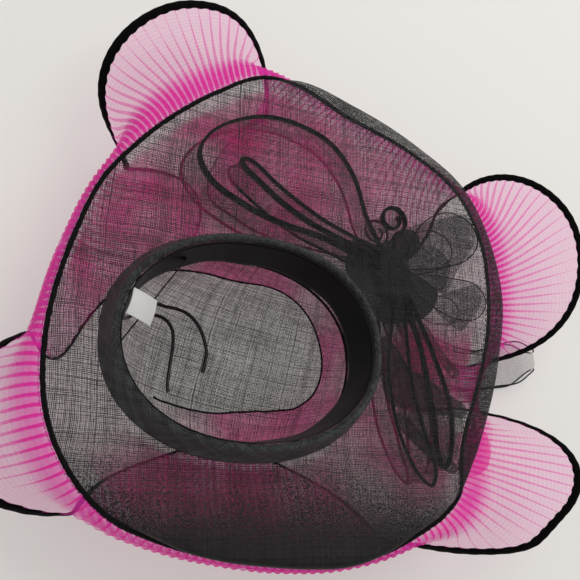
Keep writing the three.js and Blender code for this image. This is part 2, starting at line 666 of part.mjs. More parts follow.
function buildBow() {
  const knot = knotCentre();
  const knotCut = toManifold(knotShape(knotGap));
  const top = brimLevel - bowDrop;
  addMesh('bow_knot', mergeVertices(knotShape(0)), 0x161a19, 0.75);
  const addCut = (name, ribbon, color) => {
    addMesh(name, fromManifold(toManifold(ribbon).subtract(knotCut)), color, 0.75);
  };
  for (const { name, ribbon, lean, turns } of bowLoops) {
    const route = turns.map(([x, y]) => new THREE.Vector3(knot.x + x * bowReach, knot.y + y * bowReach, top));
    addCut(name, ribbonSolid(route, 16, bowRibbon * ribbon, bowWall, lean), 0x161a19);
  }
  const middle = new THREE.Vector3(knot.x, knot.y + knotSize.length / 2 + curlRadius + curlGap, top);
  const curl = [new THREE.Vector3(knot.x + 1, knot.y + knotSize.length * 0.3, top)];
  for (let turn = -80; turn <= 400; turn += 30) {
    const radius = curlRadius * (1 - (0.55 * (turn + 80)) / 480);
    curl.push(polar(turn, radius, 0).add(middle));
  }
  addCut('bow_curl', ribbonSolid(curl, 18, bowRibbon * 0.9, bowWall, 0), 0x161a19);
  const net = netTurns.map(([x, y, z]) => (
    new THREE.Vector3(knot.x + x * bowReach, knot.y + y * bowReach, Math.max(netRibbon, brimLevel * z))
  ));
  addCut('net_loop', ribbonSolid(net, 20, netRibbon, netWall, 0), 0x6d6d6a);
}

function buildLiningDetails() {
  const label = new THREE.BoxGeometry(labelSize.length, labelSize.width, labelSize.wall);
  label.translate(-labelSize.length / 2, 0, 0);
  label.rotateY(-radians(labelTilt));
  label.rotateZ(radians(labelAngle));
  const corner = labelSize.wall * Math.sin(radians(labelTilt));
  const hem = hatDepth - bandDrop - labelHem;
  const inset = bandRadius(labelAngle, hem) - seat - corner - labelGap;
  label.translate(...polar(labelAngle, inset, hem).toArray());
  addMesh('size_label', label, 0xf2f2ef, 0.6);

  const strapTop = hatDepth - strapDrop;
  const strapEnds = strapAngles.map((angle) => (
    polar(angle, bandRadius(angle, strapTop - strapWidth / 2) - strapWall, strapTop)
  ));
  const middle = strapEnds[0].clone().lerp(strapEnds[1], 0.5);
  middle.z -= strapSag;
  const strap = ribbonSolid([strapEnds[0], middle, strapEnds[1]], 10, strapWidth, strapWall, 0);
  addMesh('size_strap', strap, 0x1c1c1c, 0.85);

  for (const [name, route] of Object.entries(tieRoutes)) {
    const path = new THREE.CatmullRomCurve3(route.map((p) => new THREE.Vector3(...p)), false, 'centripetal');
    const ring = Array.from({ length: 8 }, (_, k) => new THREE.Vector2(
      (tieDiameter / 2) * Math.cos((k * Math.PI) / 4),
      (tieDiameter / 2) * Math.sin((k * Math.PI) / 4),
    ));
    const steps = Math.ceil(path.getLength() / (3 * tieDiameter));
    const options = { steps, extrudePath: path, bevelEnabled: false };
    const tube = new THREE.ExtrudeGeometry(new THREE.Shape(ring), options);
    tube.deleteAttribute('normal');
    tube.deleteAttribute('uv');
    addMesh(name, mergeVertices(tube, 1e-4), black, 0.35);
  }
}

buildCrown();
buildCrownTrim();
buildCollar();
buildSweatband();
buildBrim();
buildBinding();
buildRuffle();
buildBow();
buildLiningDetails();

export default hat;
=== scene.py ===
# Wide brimmed sinamay hat with a pleated organza ruffle, lying upside down on its crown tip.
# Metres, +Z up. The origin is the middle of the flat crown tip and the head opening faces up.
import math

import bpy
import numpy as np
from mathutils import Matrix, Vector, noise


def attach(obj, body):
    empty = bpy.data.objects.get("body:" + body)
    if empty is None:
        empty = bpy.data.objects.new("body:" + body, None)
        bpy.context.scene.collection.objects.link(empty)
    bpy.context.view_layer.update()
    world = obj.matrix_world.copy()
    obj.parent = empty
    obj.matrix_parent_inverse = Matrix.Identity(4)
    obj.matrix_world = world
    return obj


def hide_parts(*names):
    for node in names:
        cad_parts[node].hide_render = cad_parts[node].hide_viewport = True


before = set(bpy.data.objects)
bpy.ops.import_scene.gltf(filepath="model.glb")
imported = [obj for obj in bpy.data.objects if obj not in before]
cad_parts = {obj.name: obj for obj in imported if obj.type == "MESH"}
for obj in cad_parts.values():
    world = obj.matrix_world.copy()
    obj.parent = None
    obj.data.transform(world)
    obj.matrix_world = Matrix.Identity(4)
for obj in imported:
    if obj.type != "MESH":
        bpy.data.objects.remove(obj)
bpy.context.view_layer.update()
scene = bpy.context.scene
noise.seed_set(7)  # the same wobbles on every run
print("frame loaded:", len(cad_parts), "nodes")

# Camera at the photograph's angle
camera = {
    "place": (-0.18965, -0.13962, 0.65097),
    "right": (0.92810304, 0.0, 0.37232345),
    "up": (-0.11024452, 0.95515733, 0.27481017),
    "back": (-0.35562747, -0.29609877, 0.88648441),
    "lens": 49.655,
    "sensor": 36.0,
}


def addCamera():
    data = bpy.data.cameras.new("photoCamera")
    data.lens = camera["lens"]
    data.sensor_width = camera["sensor"]
    data.clip_start = 0.01
    holder = bpy.data.objects.new("photoCamera", data)
    scene.collection.objects.link(holder)
    columns = [Vector(camera[key]) for key in ("right", "up", "back")]
    turn = Matrix((columns[0], columns[1], columns[2])).transposed().to_4x4()
    holder.matrix_world = Matrix.Translation(Vector(camera["place"])) @ turn
    scene.camera = holder


addCamera()


# Mesh and path helpers

def finishPiece(piece, material, node=None, crease=None):
    mesh = piece.data
    for extra in material if isinstance(material, (list, tuple)) else [material]:
        mesh.materials.append(extra)
    mesh.polygons.foreach_set("use_smooth", [True] * len(mesh.polygons))
    if crease:
        mesh.set_sharp_from_angle(angle=math.radians(crease))
    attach(piece, "root")
    if node:
        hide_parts(node)


def makeMesh(name, points, faces, uv=None, materialIndex=None):
    mesh = bpy.data.meshes.new(name)
    mesh.from_pydata([tuple(p) for p in np.asarray(points, float)], [], [tuple(map(int, f)) for f in faces])
    mesh.update()
    if uv is not None:
        layer = mesh.uv_layers.new(name="cloth")
        corner = np.zeros(len(mesh.loops), np.int32)
        mesh.loops.foreach_get("vertex_index", corner)
        layer.data.foreach_set("uv", np.asarray(uv, np.float32)[corner].ravel())
    if materialIndex is not None:
        mesh.polygons.foreach_set("material_index", np.asarray(materialIndex, np.int32))
    piece = bpy.data.objects.new(name, mesh)
    scene.collection.objects.link(piece)
    return piece


def gridFaces(columns, rows, closedColumns=False, closedRows=False, start=0):
    faces = []
    for i in range(columns if closedColumns else columns - 1):
        for j in range(rows if closedRows else rows - 1):
            a = i * rows + j
            b = ((i + 1) % columns) * rows + j
            c = ((i + 1) % columns) * rows + (j + 1) % rows
            d = i * rows + (j + 1) % rows
            faces.append((start + a, start + b, start + c, start + d))
    return faces


def tubeFaces(columns, sides):
    # Tube with a face over each end
    ends = [tuple(range(sides)), tuple(columns * sides - 1 - j for j in range(sides))]
    return gridFaces(columns, sides, closedRows=True) + ends


def domeFaces(columns, rows):
    # Rings of a closed sheet, with a face over the first ring
    return gridFaces(columns, rows, closedColumns=True) + [tuple(i * rows for i in range(columns))]


def gridMesh(name, grid, uv=None, closedColumns=False, closedRows=False):
    columns, rows = grid.shape[:2]
    faces = gridFaces(columns, rows, closedColumns, closedRows)
    flatUv = None if uv is None else uv.reshape(-1, 2)
    return makeMesh(name, grid.reshape(-1, 3), faces, flatUv)


def joinParts(parts):
    # parts: (points, faces, uv, material index) each; one set of points and faces for all
    points, faces, uv, index = [], [], [], []
    start = 0
    for partPoints, partFaces, partUv, partIndex in parts:
        partPoints = np.asarray(partPoints, float).reshape(-1, 3)
        points.append(partPoints)
        faces += [tuple(start + k for k in face) for face in partFaces]
        uv.append(np.zeros((len(partPoints), 2)) if partUv is None else np.asarray(partUv).reshape(-1, 2))
        index += [partIndex] * len(partFaces)
        start += len(partPoints)
    return np.concatenate(points), faces, np.concatenate(uv), index


def unit(vectors):
    return vectors / np.maximum(np.linalg.norm(vectors, axis=-1, keepdims=True), 1e-12)


def runAlong(path):
    # Length of the path up to each of its points
    return np.concatenate([[0], np.cumsum(np.linalg.norm(np.diff(path, axis=0), axis=1))])


def pairs(x, y):
    return np.stack(np.broadcast_arrays(x, y), axis=-1)


def roundSteps(count):
    return np.arange(count) * math.tau / count


def rounded(wave, power):
    # Turns a circle's wave into that of an oblong with rounded corners
    return np.sign(wave) * np.abs(wave) ** power


def tubeRings(path, across, up, wide, tall, sides):
    # Oval ring round each point of a path
    k = roundSteps(sides)[:, None]
    return path[:, None] + across[:, None] * wide * np.cos(k) + up[:, None] * tall * np.sin(k)


def resample(points, count):
    length = runAlong(points)
    places = np.linspace(0, length[-1], count)
    return np.stack([np.interp(places, length, points[:, k]) for k in range(points.shape[1])], axis=1)


def smoothPath(points, count, perSpan=24):
    # Centripetal Catmull-Rom curve through the points, at even steps
    p = np.asarray(points, float)
    p = np.concatenate([[2 * p[0] - p[1]], p, [2 * p[-1] - p[-2]]])
    path = []
    for k in range(1, len(p) - 2):
        before, here, after, last = p[k - 1], p[k], p[k + 1], p[k + 2]
        gaps = [np.sqrt(np.linalg.norm(b - a)) for a, b in ((before, here), (here, after), (after, last))]
        leave = (here - before) / gaps[0] - (after - before) / (gaps[0] + gaps[1]) + (after - here) / gaps[1]
        arrive = (after - here) / gaps[1] - (last - here) / (gaps[1] + gaps[2]) + (last - after) / gaps[2]
        t = np.linspace(0, 1, perSpan, endpoint=False)[:, None]
        a = 2 * here - 2 * after + (leave + arrive) * gaps[1]
        b = 3 * after - 3 * here - (2 * leave + arrive) * gaps[1]
        path.append(a * t**3 + b * t**2 + leave * gaps[1] * t + here)
    path.append(p[-2:-1])
    return resample(np.concatenate(path), count)


def mix(a, b, t):
    return a + (b - a) * t


def wobble(points, size, scale, seed=0.0):
    # Even, seeded noise offset for each point
    shifted = points.reshape(-1, 3) / scale + seed
    out = np.array([noise.noise_vector(Vector(p)) for p in shifted])
    return (size * out).reshape(points.shape)


def wobbleValue(x, y, seed):
    flat = [noise.noise(Vector((a, b, seed))) for a, b in zip(np.ravel(x), np.ravel(y))]
    return np.array(flat).reshape(np.shape(x))


# Node helpers

def newTree(name):
    material = bpy.data.materials.new(name)
    material.use_nodes = True
    material.node_tree.nodes.clear()
    return material, material.node_tree


def addNode(tree, kind, inputs=None, **settings):
    node = tree.nodes.new("ShaderNode" + kind)
    for key, value in settings.items():
        setattr(node, key, value)
    for key, value in (inputs or {}).items():
        if isinstance(value, bpy.types.NodeSocket):
            tree.links.new(value, node.inputs[key])
        else:
            node.inputs[key].default_value = value
    return node


def showSurface(tree, shader):
    addNode(tree, "OutputMaterial", {"Surface": shader.outputs[0]})


def calc(tree, operation, *values, clamp=False):
    node = addNode(tree, "Math", dict(enumerate(values)), operation=operation, use_clamp=clamp)
    return node.outputs[0]


def plus(tree, a, b):
    return calc(tree, "ADD", a, b)


def minus(tree, a, b):
    return calc(tree, "SUBTRACT", a, b)


def times(tree, a, b, clamp=False):
    return calc(tree, "MULTIPLY", a, b, clamp=clamp)


def timesPlus(tree, a, b, c, clamp=False):
    return calc(tree, "MULTIPLY_ADD", a, b, c, clamp=clamp)


def noiseOf(tree, vector, scale, detail=2.0, roughness=0.5):
    node = addNode(tree, "TexNoise",
                   {"Vector": vector, "Scale": scale, "Detail": detail, "Roughness": roughness})
    return node.outputs["Fac"]


def blendColour(tree, factor, first, second):
    node = addNode(tree, "Mix", data_type="RGBA")
    for socket, value in ((node.inputs[0], factor), (node.inputs[6], first), (node.inputs[7], second)):
        if isinstance(value, bpy.types.NodeSocket):
            tree.links.new(value, socket)
        else:
            socket.default_value = value
    return node.outputs[2]


def ramp(tree, value, low, high, toLow=0.0, toHigh=1.0):
    node = addNode(tree, "MapRange", {
        "Value": value, "From Min": low, "From Max": high, "To Min": toLow, "To Max": toHigh,
    }, interpolation_type="SMOOTHSTEP")
    return node.outputs["Result"]


def bumpOf(tree, height, distance, strength=1.0):
    node = addNode(tree, "Bump", {"Height": height, "Distance": distance, "Strength": strength})
    return node.outputs["Normal"]


def clothPlace(tree):
    return addNode(tree, "UVMap", uv_map="cloth").outputs["UV"]


def objectPlace(tree):
    return addNode(tree, "TexCoord").outputs["Object"]


def warped(tree, vector, scale, amount):
    source = addNode(tree, "TexNoise", {"Vector": vector, "Scale": scale, "Detail": 1.0})
    middle = (0.5, 0.5, 0.5)
    shift = addNode(tree, "VectorMath", {0: source.outputs["Color"], 1: middle}, operation="SUBTRACT")
    grown = addNode(tree, "VectorMath", {0: shift.outputs[0], "Scale": amount}, operation="SCALE")
    return addNode(tree, "VectorMath", {0: vector, 1: grown.outputs[0]}, operation="ADD").outputs[0]


def yarnNoise(tree, line, seed):
    # One random value for each yarn
    node = addNode(tree, "TexWhiteNoise", {"W": plus(tree, line, seed)}, noise_dimensions="1D")
    return node.outputs["Value"]


def threadMask(tree, along, across, weave, seed):
    # One family of yarns: across counts the yarns, along runs down each of them
    line = calc(tree, "FLOOR", across)
    place = calc(tree, "FRACT", across)
    shade, stray = yarnNoise(tree, line, seed), yarnNoise(tree, line, seed + 0.37)
    half = timesPlus(tree, shade, weave["vary"], weave["half"] - 0.5 * weave["vary"])
    # Thick places in each yarn, then thick and thin bands of yarns
    swells = [
        ("slub", line, 3.71, weave["slubRate"], seed, 1.0),
        ("streak", across, weave["streakRate"], 0.15 * weave["streakRate"], seed + 7.0, 2.0),
    ]
    for key, counted, rateAcross, rateAlong, start, detail in swells:
        spot = {"X": times(tree, counted, rateAcross), "Y": times(tree, along, rateAlong), "Z": start}
        spot = addNode(tree, "CombineXYZ", spot).outputs[0]
        half = timesPlus(tree, minus(tree, noiseOf(tree, spot, 1.0, detail), 0.5), weave[key], half)
    shift = times(tree, minus(tree, stray, 0.5), weave["wander"])
    away = calc(tree, "ABSOLUTE", minus(tree, minus(tree, place, 0.5), shift))
    inside = minus(tree, half, away)
    return timesPlus(tree, inside, 1 / weave["soft"], 0.5, clamp=True), inside, shade


def weaveMaterial(name, weave):
    # Open straw weave: yarns both ways with holes between them
    material, tree = newTree(name)
    place = clothPlace(tree)
    place = warped(tree, place, weave["bendScale"], weave["bend"])
    place = warped(tree, place, weave["rippleScale"], weave["ripple"])
    spread = addNode(tree, "VectorMath", {0: place, "Scale": 1 / weave["pitch"]}, operation="SCALE")
    parts = addNode(tree, "SeparateXYZ", {0: spread.outputs[0]}).outputs
    maskU, roundU, shadeU = threadMask(tree, parts[1], parts[0], weave, 11.0)
    maskV, roundV, shadeV = threadMask(tree, parts[0], parts[1], weave, 29.0)
    cover = calc(tree, "MAXIMUM", maskU, maskV)
    patch = noiseOf(tree, place, weave["patchScale"], 2.0)
    fuzz = ramp(tree, noiseOf(tree, place, weave["fuzzScale"], 1.0), 0.4, 0.75)
    fuzz = times(tree, fuzz, ramp(tree, patch, 0.3, 0.7, 0.4, 1.0))
    floor = timesPlus(tree, fuzz, weave["haze"], weave["hazeLow"])
    if "shadedLowSide" in weave:
        # Painted shade: the weave grows denser, and so darker, towards the low side of the brim
        side = addNode(tree, "SeparateXYZ", {0: place}).outputs[1]
        floor = plus(tree, floor, ramp(tree, side, *weave["shadedLowSide"]))
    alpha = calc(tree, "MAXIMUM", cover, floor)
    shade = times(tree, plus(tree, shadeU, shadeV), 0.5)
    colour = blendColour(tree, shade, (*weave["dark"], 1), (*weave["light"], 1))
    height = calc(tree, "MAXIMUM", roundU, roundV)
    if weave["shade"]:
        # Painted shade: the gaps between the yarns of a close weave are darkened towards black
        gap = ramp(tree, height, 0.0, 0.4, 1.0 - weave["shade"] * 0.9, 1.0)
        colour = blendColour(tree, gap, (0.0015, 0.0015, 0.0015, 1), colour)
    shader = addNode(tree, "BsdfPrincipled", {
        "Base Color": colour, "Roughness": weave["roughness"], "Specular IOR Level": weave["gloss"],
        "Normal": bumpOf(tree, height, weave["pitch"] * weave["relief"], 1.0), "Alpha": alpha,
    })
    showSurface(tree, shader)
    return material


sinamayWeave = {
    "pitch": 0.00128, "half": 0.232, "vary": 0.15, "slub": 0.36, "slubRate": 0.2, "streak": 0.3,
    "streakRate": 0.1, "wander": 0.4, "soft": 0.36, "bendScale": 9.0, "bend": 0.014,
    "rippleScale": 40.0, "ripple": 0.0022, "patchScale": 26.0, "fuzzScale": 900.0, "haze": 0.45,
    "hazeLow": 0.12, "shade": 0.0, "dark": (0.004, 0.0036, 0.004), "light": (0.02, 0.018, 0.0195),
    "roughness": 0.6, "gloss": 0.25, "relief": 0.3,
}
crownWeave = {**sinamayWeave, "half": 0.2, "streak": 0.24, "bend": 0.006, "haze": 0.42}
bowWeave = {
    **sinamayWeave, "pitch": 0.0012, "half": 0.18, "vary": 0.12, "streak": 0.16, "wander": 0.2,
    "bend": 0.002, "ripple": 0.0006, "haze": 0.25, "hazeLow": 0.1,
    "dark": (0.03, 0.032, 0.032), "light": (0.12, 0.125, 0.125),
}
ribbonWeave = {
    **bowWeave, "half": 0.1, "haze": 0.1, "hazeLow": 0.03,
    "dark": (0.012, 0.013, 0.013), "light": (0.06, 0.064, 0.064),
}
faintWeave = {
    **ribbonWeave, "half": 0.05, "vary": 0.06, "slub": 0.1, "streak": 0.1, "haze": 0.06, "hazeLow": 0.0,
}
mediumWeave = {
    **bowWeave, "half": 0.28, "haze": 0.3, "hazeLow": 0.32,
    "dark": (0.012, 0.012, 0.012), "light": (0.06, 0.064, 0.064),
}
# Close weaves: shade darkens the gaps between their yarns, a painted shade
denseWeave = {
    **bowWeave, "pitch": 0.0016, "half": 0.4, "haze": 0.2, "hazeLow": 0.74, "shade": 1.0,
    "dark": (0.014, 0.016, 0.0155), "light": (0.13, 0.142, 0.138),
    "roughness": 0.45, "gloss": 0.5, "relief": 0.7,
}
collarWeave = {
    **denseWeave, "pitch": 0.0019, "half": 0.42, "hazeLow": 1.0, "haze": 0.0, "bend": 0.001, "streak": 0.2,
    "dark": (0.008, 0.011, 0.0105), "light": (0.082, 0.098, 0.093),
    "roughness": 0.33, "gloss": 0.75, "relief": 1.3,
}

# Painted shade: the brim's weave is made denser, so darker, on its low side
sinamay = weaveMaterial("sinamay", {**sinamayWeave, "shadedLowSide": (-0.03, -0.15, 0.0, 0.85)})
crownSinamay = weaveMaterial("crownSinamay", crownWeave)
bowSinamay = weaveMaterial("bowSinamay", bowWeave)
ribbonSinamay = weaveMaterial("ribbonSinamay", ribbonWeave)
faintSinamay = weaveMaterial("faintSinamay", faintWeave)
mediumSinamay = weaveMaterial("mediumSinamay", mediumWeave)
denseSinamay = weaveMaterial("denseSinamay", denseWeave)
collarCloth = weaveMaterial("collarCloth", collarWeave)


def stripMaterial(name, finish):
    # Close cloth strip: fine grain, uneven colour, a little lustre
    material, tree = newTree(name)
    place = objectPlace(tree)
    grain = noiseOf(tree, place, finish["grain"], 2.0, 0.7)
    patch = noiseOf(tree, place, finish["patch"], 2.0)
    factor = times(tree, ramp(tree, grain, 0.35, 0.75), ramp(tree, patch, 0.2, 0.8, 0.4, 1.0))
    colour = blendColour(tree, factor, (*finish["dark"], 1), (*finish["light"], 1))
    rough = timesPlus(tree, patch, 0.2, finish["roughness"] - 0.1)
    shader = addNode(tree, "BsdfPrincipled", {
        "Base Color": colour, "Roughness": rough, "Specular IOR Level": finish["gloss"],
        "Sheen Weight": finish["sheen"], "Sheen Roughness": finish["sheenRoughness"],
        "Normal": bumpOf(tree, grain, finish["relief"], 0.8),
    })
    showSurface(tree, shader)
    return material


stripColumns = ("grain", "patch", "dark", "light", "roughness", "gloss", "sheen", "sheenRoughness", "relief")
stripFinishes = {
    "trimCloth": (900.0, 60.0, (0.002, 0.002, 0.002), (0.012, 0.012, 0.0125), 0.85, 0.12, 0.03, 0.5, 0.0006),
    "satin": (300.0, 30.0, (0.001, 0.001, 0.0011), (0.0035, 0.0035, 0.004), 0.4, 0.26, 0.005, 0.3, 0.0001),
    "velvetCloth": (
        1400.0, 70.0, (0.0012, 0.0012, 0.0012), (0.0045, 0.0045, 0.0045), 0.95, 0.05, 0.035, 0.4, 0.0003),
    "hemCloth": (700.0, 50.0, (0.002, 0.0025, 0.0025), (0.011, 0.013, 0.0125), 0.75, 0.2, 0.03, 0.5, 0.0004),
    "tieSatin": (500.0, 90.0, (0.003, 0.003, 0.003), (0.012, 0.012, 0.013), 0.35, 0.5, 0.1, 0.3, 0.0001),
    "stitchThread": (1500.0, 200.0, (0.004, 0.002, 0.003), (0.03, 0.012, 0.02), 0.7, 0.3, 0.1, 0.5, 0.0001),
}
trimCloth, satin, velvetCloth, hemCloth, tieSatin, stitchThread = (
    stripMaterial(name, dict(zip(stripColumns, row))) for name, row in stripFinishes.items())


def sheerCloth(tree, colour, cover, through, face, clear=(1.0, 1.0, 1.0, 1), glow=0.0):
    # Cloth lit from both sides, and clear between its threads; with glow set, it also has a painted glow
    front = addNode(tree, "BsdfPrincipled", {"Base Color": colour, **face})
    back = addNode(tree, "BsdfTranslucent", {"Color": colour})
    cloth = addNode(tree, "MixShader", {0: through, 1: front.outputs[0], 2: back.outputs[0]})
    if glow:
        # Painted glow: emission stands in for the light that many layers pass on to each other
        light = addNode(tree, "Emission", {"Color": colour, "Strength": glow})
        cloth = addNode(tree, "AddShader", {0: cloth.outputs[0], 1: light.outputs[0]})
    holes = addNode(tree, "BsdfTransparent", {"Color": clear})
    showSurface(tree, addNode(tree, "MixShader", {0: cover, 1: holes.outputs[0], 2: cloth.outputs[0]}))


def organzaMaterial():
    # Sheer pleated cloth: part see-through, part lit from both sides
    look = {
        "cover": 0.25, "ripple": 0.07, "rippleScale": 67.2, "grainScale": 1500.0, "crest": 0.44,
        "pale": (1.0, 0.075, 0.68), "deep": (1.0, 0.035, 0.56), "through": 0.55, "roughness": 0.5,
    }
    material, tree = newTree("organza")
    place = clothPlace(tree)
    bent = warped(tree, place, 60.0, 0.004)
    ripple = addNode(tree, "TexWave", {
        "Vector": bent, "Scale": look["rippleScale"], "Distortion": 3.0, "Detail": 1.0, "Detail Scale": 4.0,
    }, wave_type="BANDS", bands_direction="Y").outputs["Fac"]
    grain = noiseOf(tree, place, look["grainScale"], 1.0)
    cover = timesPlus(tree, minus(tree, ripple, 0.5), look["ripple"], look["cover"])
    cover = timesPlus(tree, minus(tree, grain, 0.5), 0.12, cover)
    # Pleats lie closest over the crest, between the rim and the fan
    down = addNode(tree, "SeparateXYZ", {0: place}).outputs[1]
    down = timesPlus(tree, noiseOf(tree, place, 80.0, 1.0), 0.004, down)
    crest = times(tree, ramp(tree, down, 0.0, 0.007), ramp(tree, down, 0.012, 0.034, 1.0, 0.0))
    cover = timesPlus(tree, crest, look["crest"], cover, clamp=True)
    colour = blendColour(tree, noiseOf(tree, place, 30.0, 2.0), (*look["pale"], 1), (*look["deep"], 1))
    sheerCloth(tree, colour, cover, look["through"], {
        "Roughness": look["roughness"], "Specular IOR Level": 0.35,
        "Normal": bumpOf(tree, ripple, 0.0002, 0.5),
    }, clear=(1.0, 0.93, 0.97, 1))
    return material


def softOrganzaMaterial():
    # Layers of organza bunched together, thicker and thinner in places and thin at the sheet's ends, with a
    # faint painted glow
    look = {"cover": 0.76, "pale": (1.0, 0.1, 0.5), "deep": (1.0, 0.05, 0.38), "blobScale": 20.0, "glow": 0.1}
    material, tree = newTree("organzaLayers")
    place = objectPlace(tree)
    u, v, _ = addNode(tree, "SeparateXYZ", {0: clothPlace(tree)}).outputs
    blobs = ramp(tree, noiseOf(tree, place, look["blobScale"], 1.0), 0.3, 0.7, 0.42, 1.0)
    ends = [ramp(tree, value, *span) for value, span in (
        (u, (0.0, 0.28)), (u, (1.0, 0.84)), (v, (0.0, 0.1)), (v, (1.0, 0.93)))]
    sides, tips = times(tree, ends[0], ends[1]), times(tree, ends[2], ends[3])
    fade = times(tree, sides, tips)
    grain = noiseOf(tree, place, 1100.0, 1.0)
    cover = times(tree, times(tree, blobs, fade), look["cover"])
    cover = times(tree, cover, plus(tree, 0.75, times(tree, grain, 0.5)), clamp=True)
    colour = blendColour(tree, noiseOf(tree, place, 30.0, 2.0), (*look["pale"], 1), (*look["deep"], 1))
    sheerCloth(tree, colour, cover, 0.68, {"Roughness": 0.6}, glow=look["glow"])
    return material


def netMaterial():
    # Sheer stiff net: fine grain, and clear between its threads
    look = {
        "cover": 0.2, "grain": 0.52, "grainScale": 1100.0, "dark": (0.05, 0.05, 0.047),
        "light": (0.22, 0.22, 0.21),
    }
    material, tree = newTree("net")
    place = objectPlace(tree)
    grain = noiseOf(tree, place, look["grainScale"], 1.0)
    alpha = timesPlus(tree, minus(tree, grain, 0.5), look["grain"], look["cover"])
    shader = addNode(tree, "BsdfPrincipled", {
        "Base Color": blendColour(tree, grain, (*look["dark"], 1), (*look["light"], 1)),
        "Roughness": 0.6, "Alpha": alpha,
    })
    showSurface(tree, shader)
    return material


def ribbedMaterial(name, look):
    # Ribbed narrow cloth, toned by soft patches or by the ribs themselves
    material, tree = newTree(name)
    place = clothPlace(tree)
    ribs = addNode(tree, "TexWave", {"Vector": place, "Scale": look["ribs"], "Distortion": look["bend"]},
                   wave_type="BANDS", bands_direction=look["way"]).outputs["Fac"]
    tone = noiseOf(tree, place, look["patch"], 2.0) if look["patch"] else ribs
    shader = addNode(tree, "BsdfPrincipled", {
        "Base Color": blendColour(tree, tone, (*look["dark"], 1), (*look["light"], 1)),
        "Roughness": look["roughness"], "Normal": bumpOf(tree, ribs, look["relief"], look["strength"]),
    })
    showSurface(tree, shader)
    return material


organza = organzaMaterial()
organzaLayers = softOrganzaMaterial()
netCloth = netMaterial()
labelSatin = ribbedMaterial("labelSatin", {
    "ribs": 700.0, "bend": 0.0, "way": "Y", "patch": 90.0, "roughness": 0.45, "relief": 0.0001,
    "strength": 0.5, "dark": (0.8, 0.8, 0.79), "light": (0.9, 0.9, 0.89),
})
elastic = ribbedMaterial("elastic", {
    "ribs": 160.0, "bend": 1.0, "way": "X", "patch": 0.0, "roughness": 0.75, "relief": 0.0005,
    "strength": 1.0, "dark": (0.004, 0.004, 0.004), "light": (0.03, 0.03, 0.03),
})
print("materials made")

# Tie ends: free narrow cords, from under the sweatband down the crown's wall and along its tip
ties = {
    "diameter": 0.003,
    "points": 120,
    "tie_long": [
        (-0.0896, 0.0274, 0.0722), (-0.0885, 0.0276, 0.066), (-0.086, 0.0285, 0.0575),
        (-0.081, 0.0335, 0.0495), (-0.072, 0.039, 0.0387), (-0.06, 0.043, 0.029), (-0.048, 0.044, 0.0198),
        (-0.037, 0.044, 0.0157), (-0.027, 0.042, 0.0116), (-0.019, 0.037, 0.0083), (-0.013, 0.03, 0.0055),
        (-0.009, 0.021, 0.0041), (-0.007, 0.012, 0.0039), (-0.008, 0.003, 0.0039),
        (-0.01, -0.006, 0.0039),
    ],
    "tie_short": [
        (-0.0913, 0.0198, 0.0722), (-0.0903, 0.02, 0.066), (-0.088, 0.0205, 0.0575),
        (-0.084, 0.024, 0.0457), (-0.076, 0.03, 0.0345), (-0.065, 0.034, 0.025), (-0.054, 0.036, 0.0178),
        (-0.045, 0.034, 0.0128), (-0.039, 0.028, 0.009), (-0.037, 0.02, 0.0064), (-0.037, 0.011, 0.0051),
        (-0.038, 0.002, 0.0048), (-0.039, -0.007, 0.0052), (-0.04, -0.016, 0.0063),
        (-0.04, -0.025, 0.0082),
    ],
}


def buildTie(name):
    path = smoothPath(ties[name], ties["points"])
    curve = bpy.data.curves.new(name + "_cord", "CURVE")
    curve.dimensions = "3D"
    curve.bevel_depth = ties["diameter"] / 2
    curve.bevel_resolution = 3
    curve.use_fill_caps = True
    spline = curve.splines.new("POLY")
    spline.points.add(len(path) - 1)
    for point, place in zip(spline.points, path):
        point.co = (*place, 1.0)
    curve.materials.append(tieSatin)
    piece = bpy.data.objects.new(name + "_cord", curve)
    scene.collection.objects.link(piece)
    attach(piece, "root")
    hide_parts(name)


for tieName in ("tie_long", "tie_short"):
    buildTie(tieName)

# Sizes shared by the pieces
hat = {
    "headLength": 0.198, "headWidth": 0.152, "squareness": 2.15, "depth": 0.112,
    "crownEase": 0.0027, "crownLap": 0.003, "seat": 0.0003, "edgeSeat": 0.0009,
    "collarHeight": 0.025, "collarFlare": 0.012, "collarWall": 0.0016, "rollWidth": 0.0065,
    "bandWidth": 0.036, "bandWall": 0.001, "bandLean": 0.0035, "bandDrop": 0.003,
    "trimHeight": 0.06, "trimWidth": 0.004, "trimWall": 0.0015,
    "brimReach": 0.2, "brimCurl": 0.03, "brimWall": 0.0012,
    "bindingWidth": 0.0045, "bindingThickness": 0.003, "ruffleStandoff": 0.0013,
}
brimLevel = hat["depth"] - hat["collarHeight"]

# Crown outline: height as a share of the brim's level, size of the full oval
crownSections = [(0, 0.36), (0.025, 0.46), (0.077, 0.6), (0.19, 0.75), (0.385, 0.87), (0.64, 0.95), (0.97, 1)]

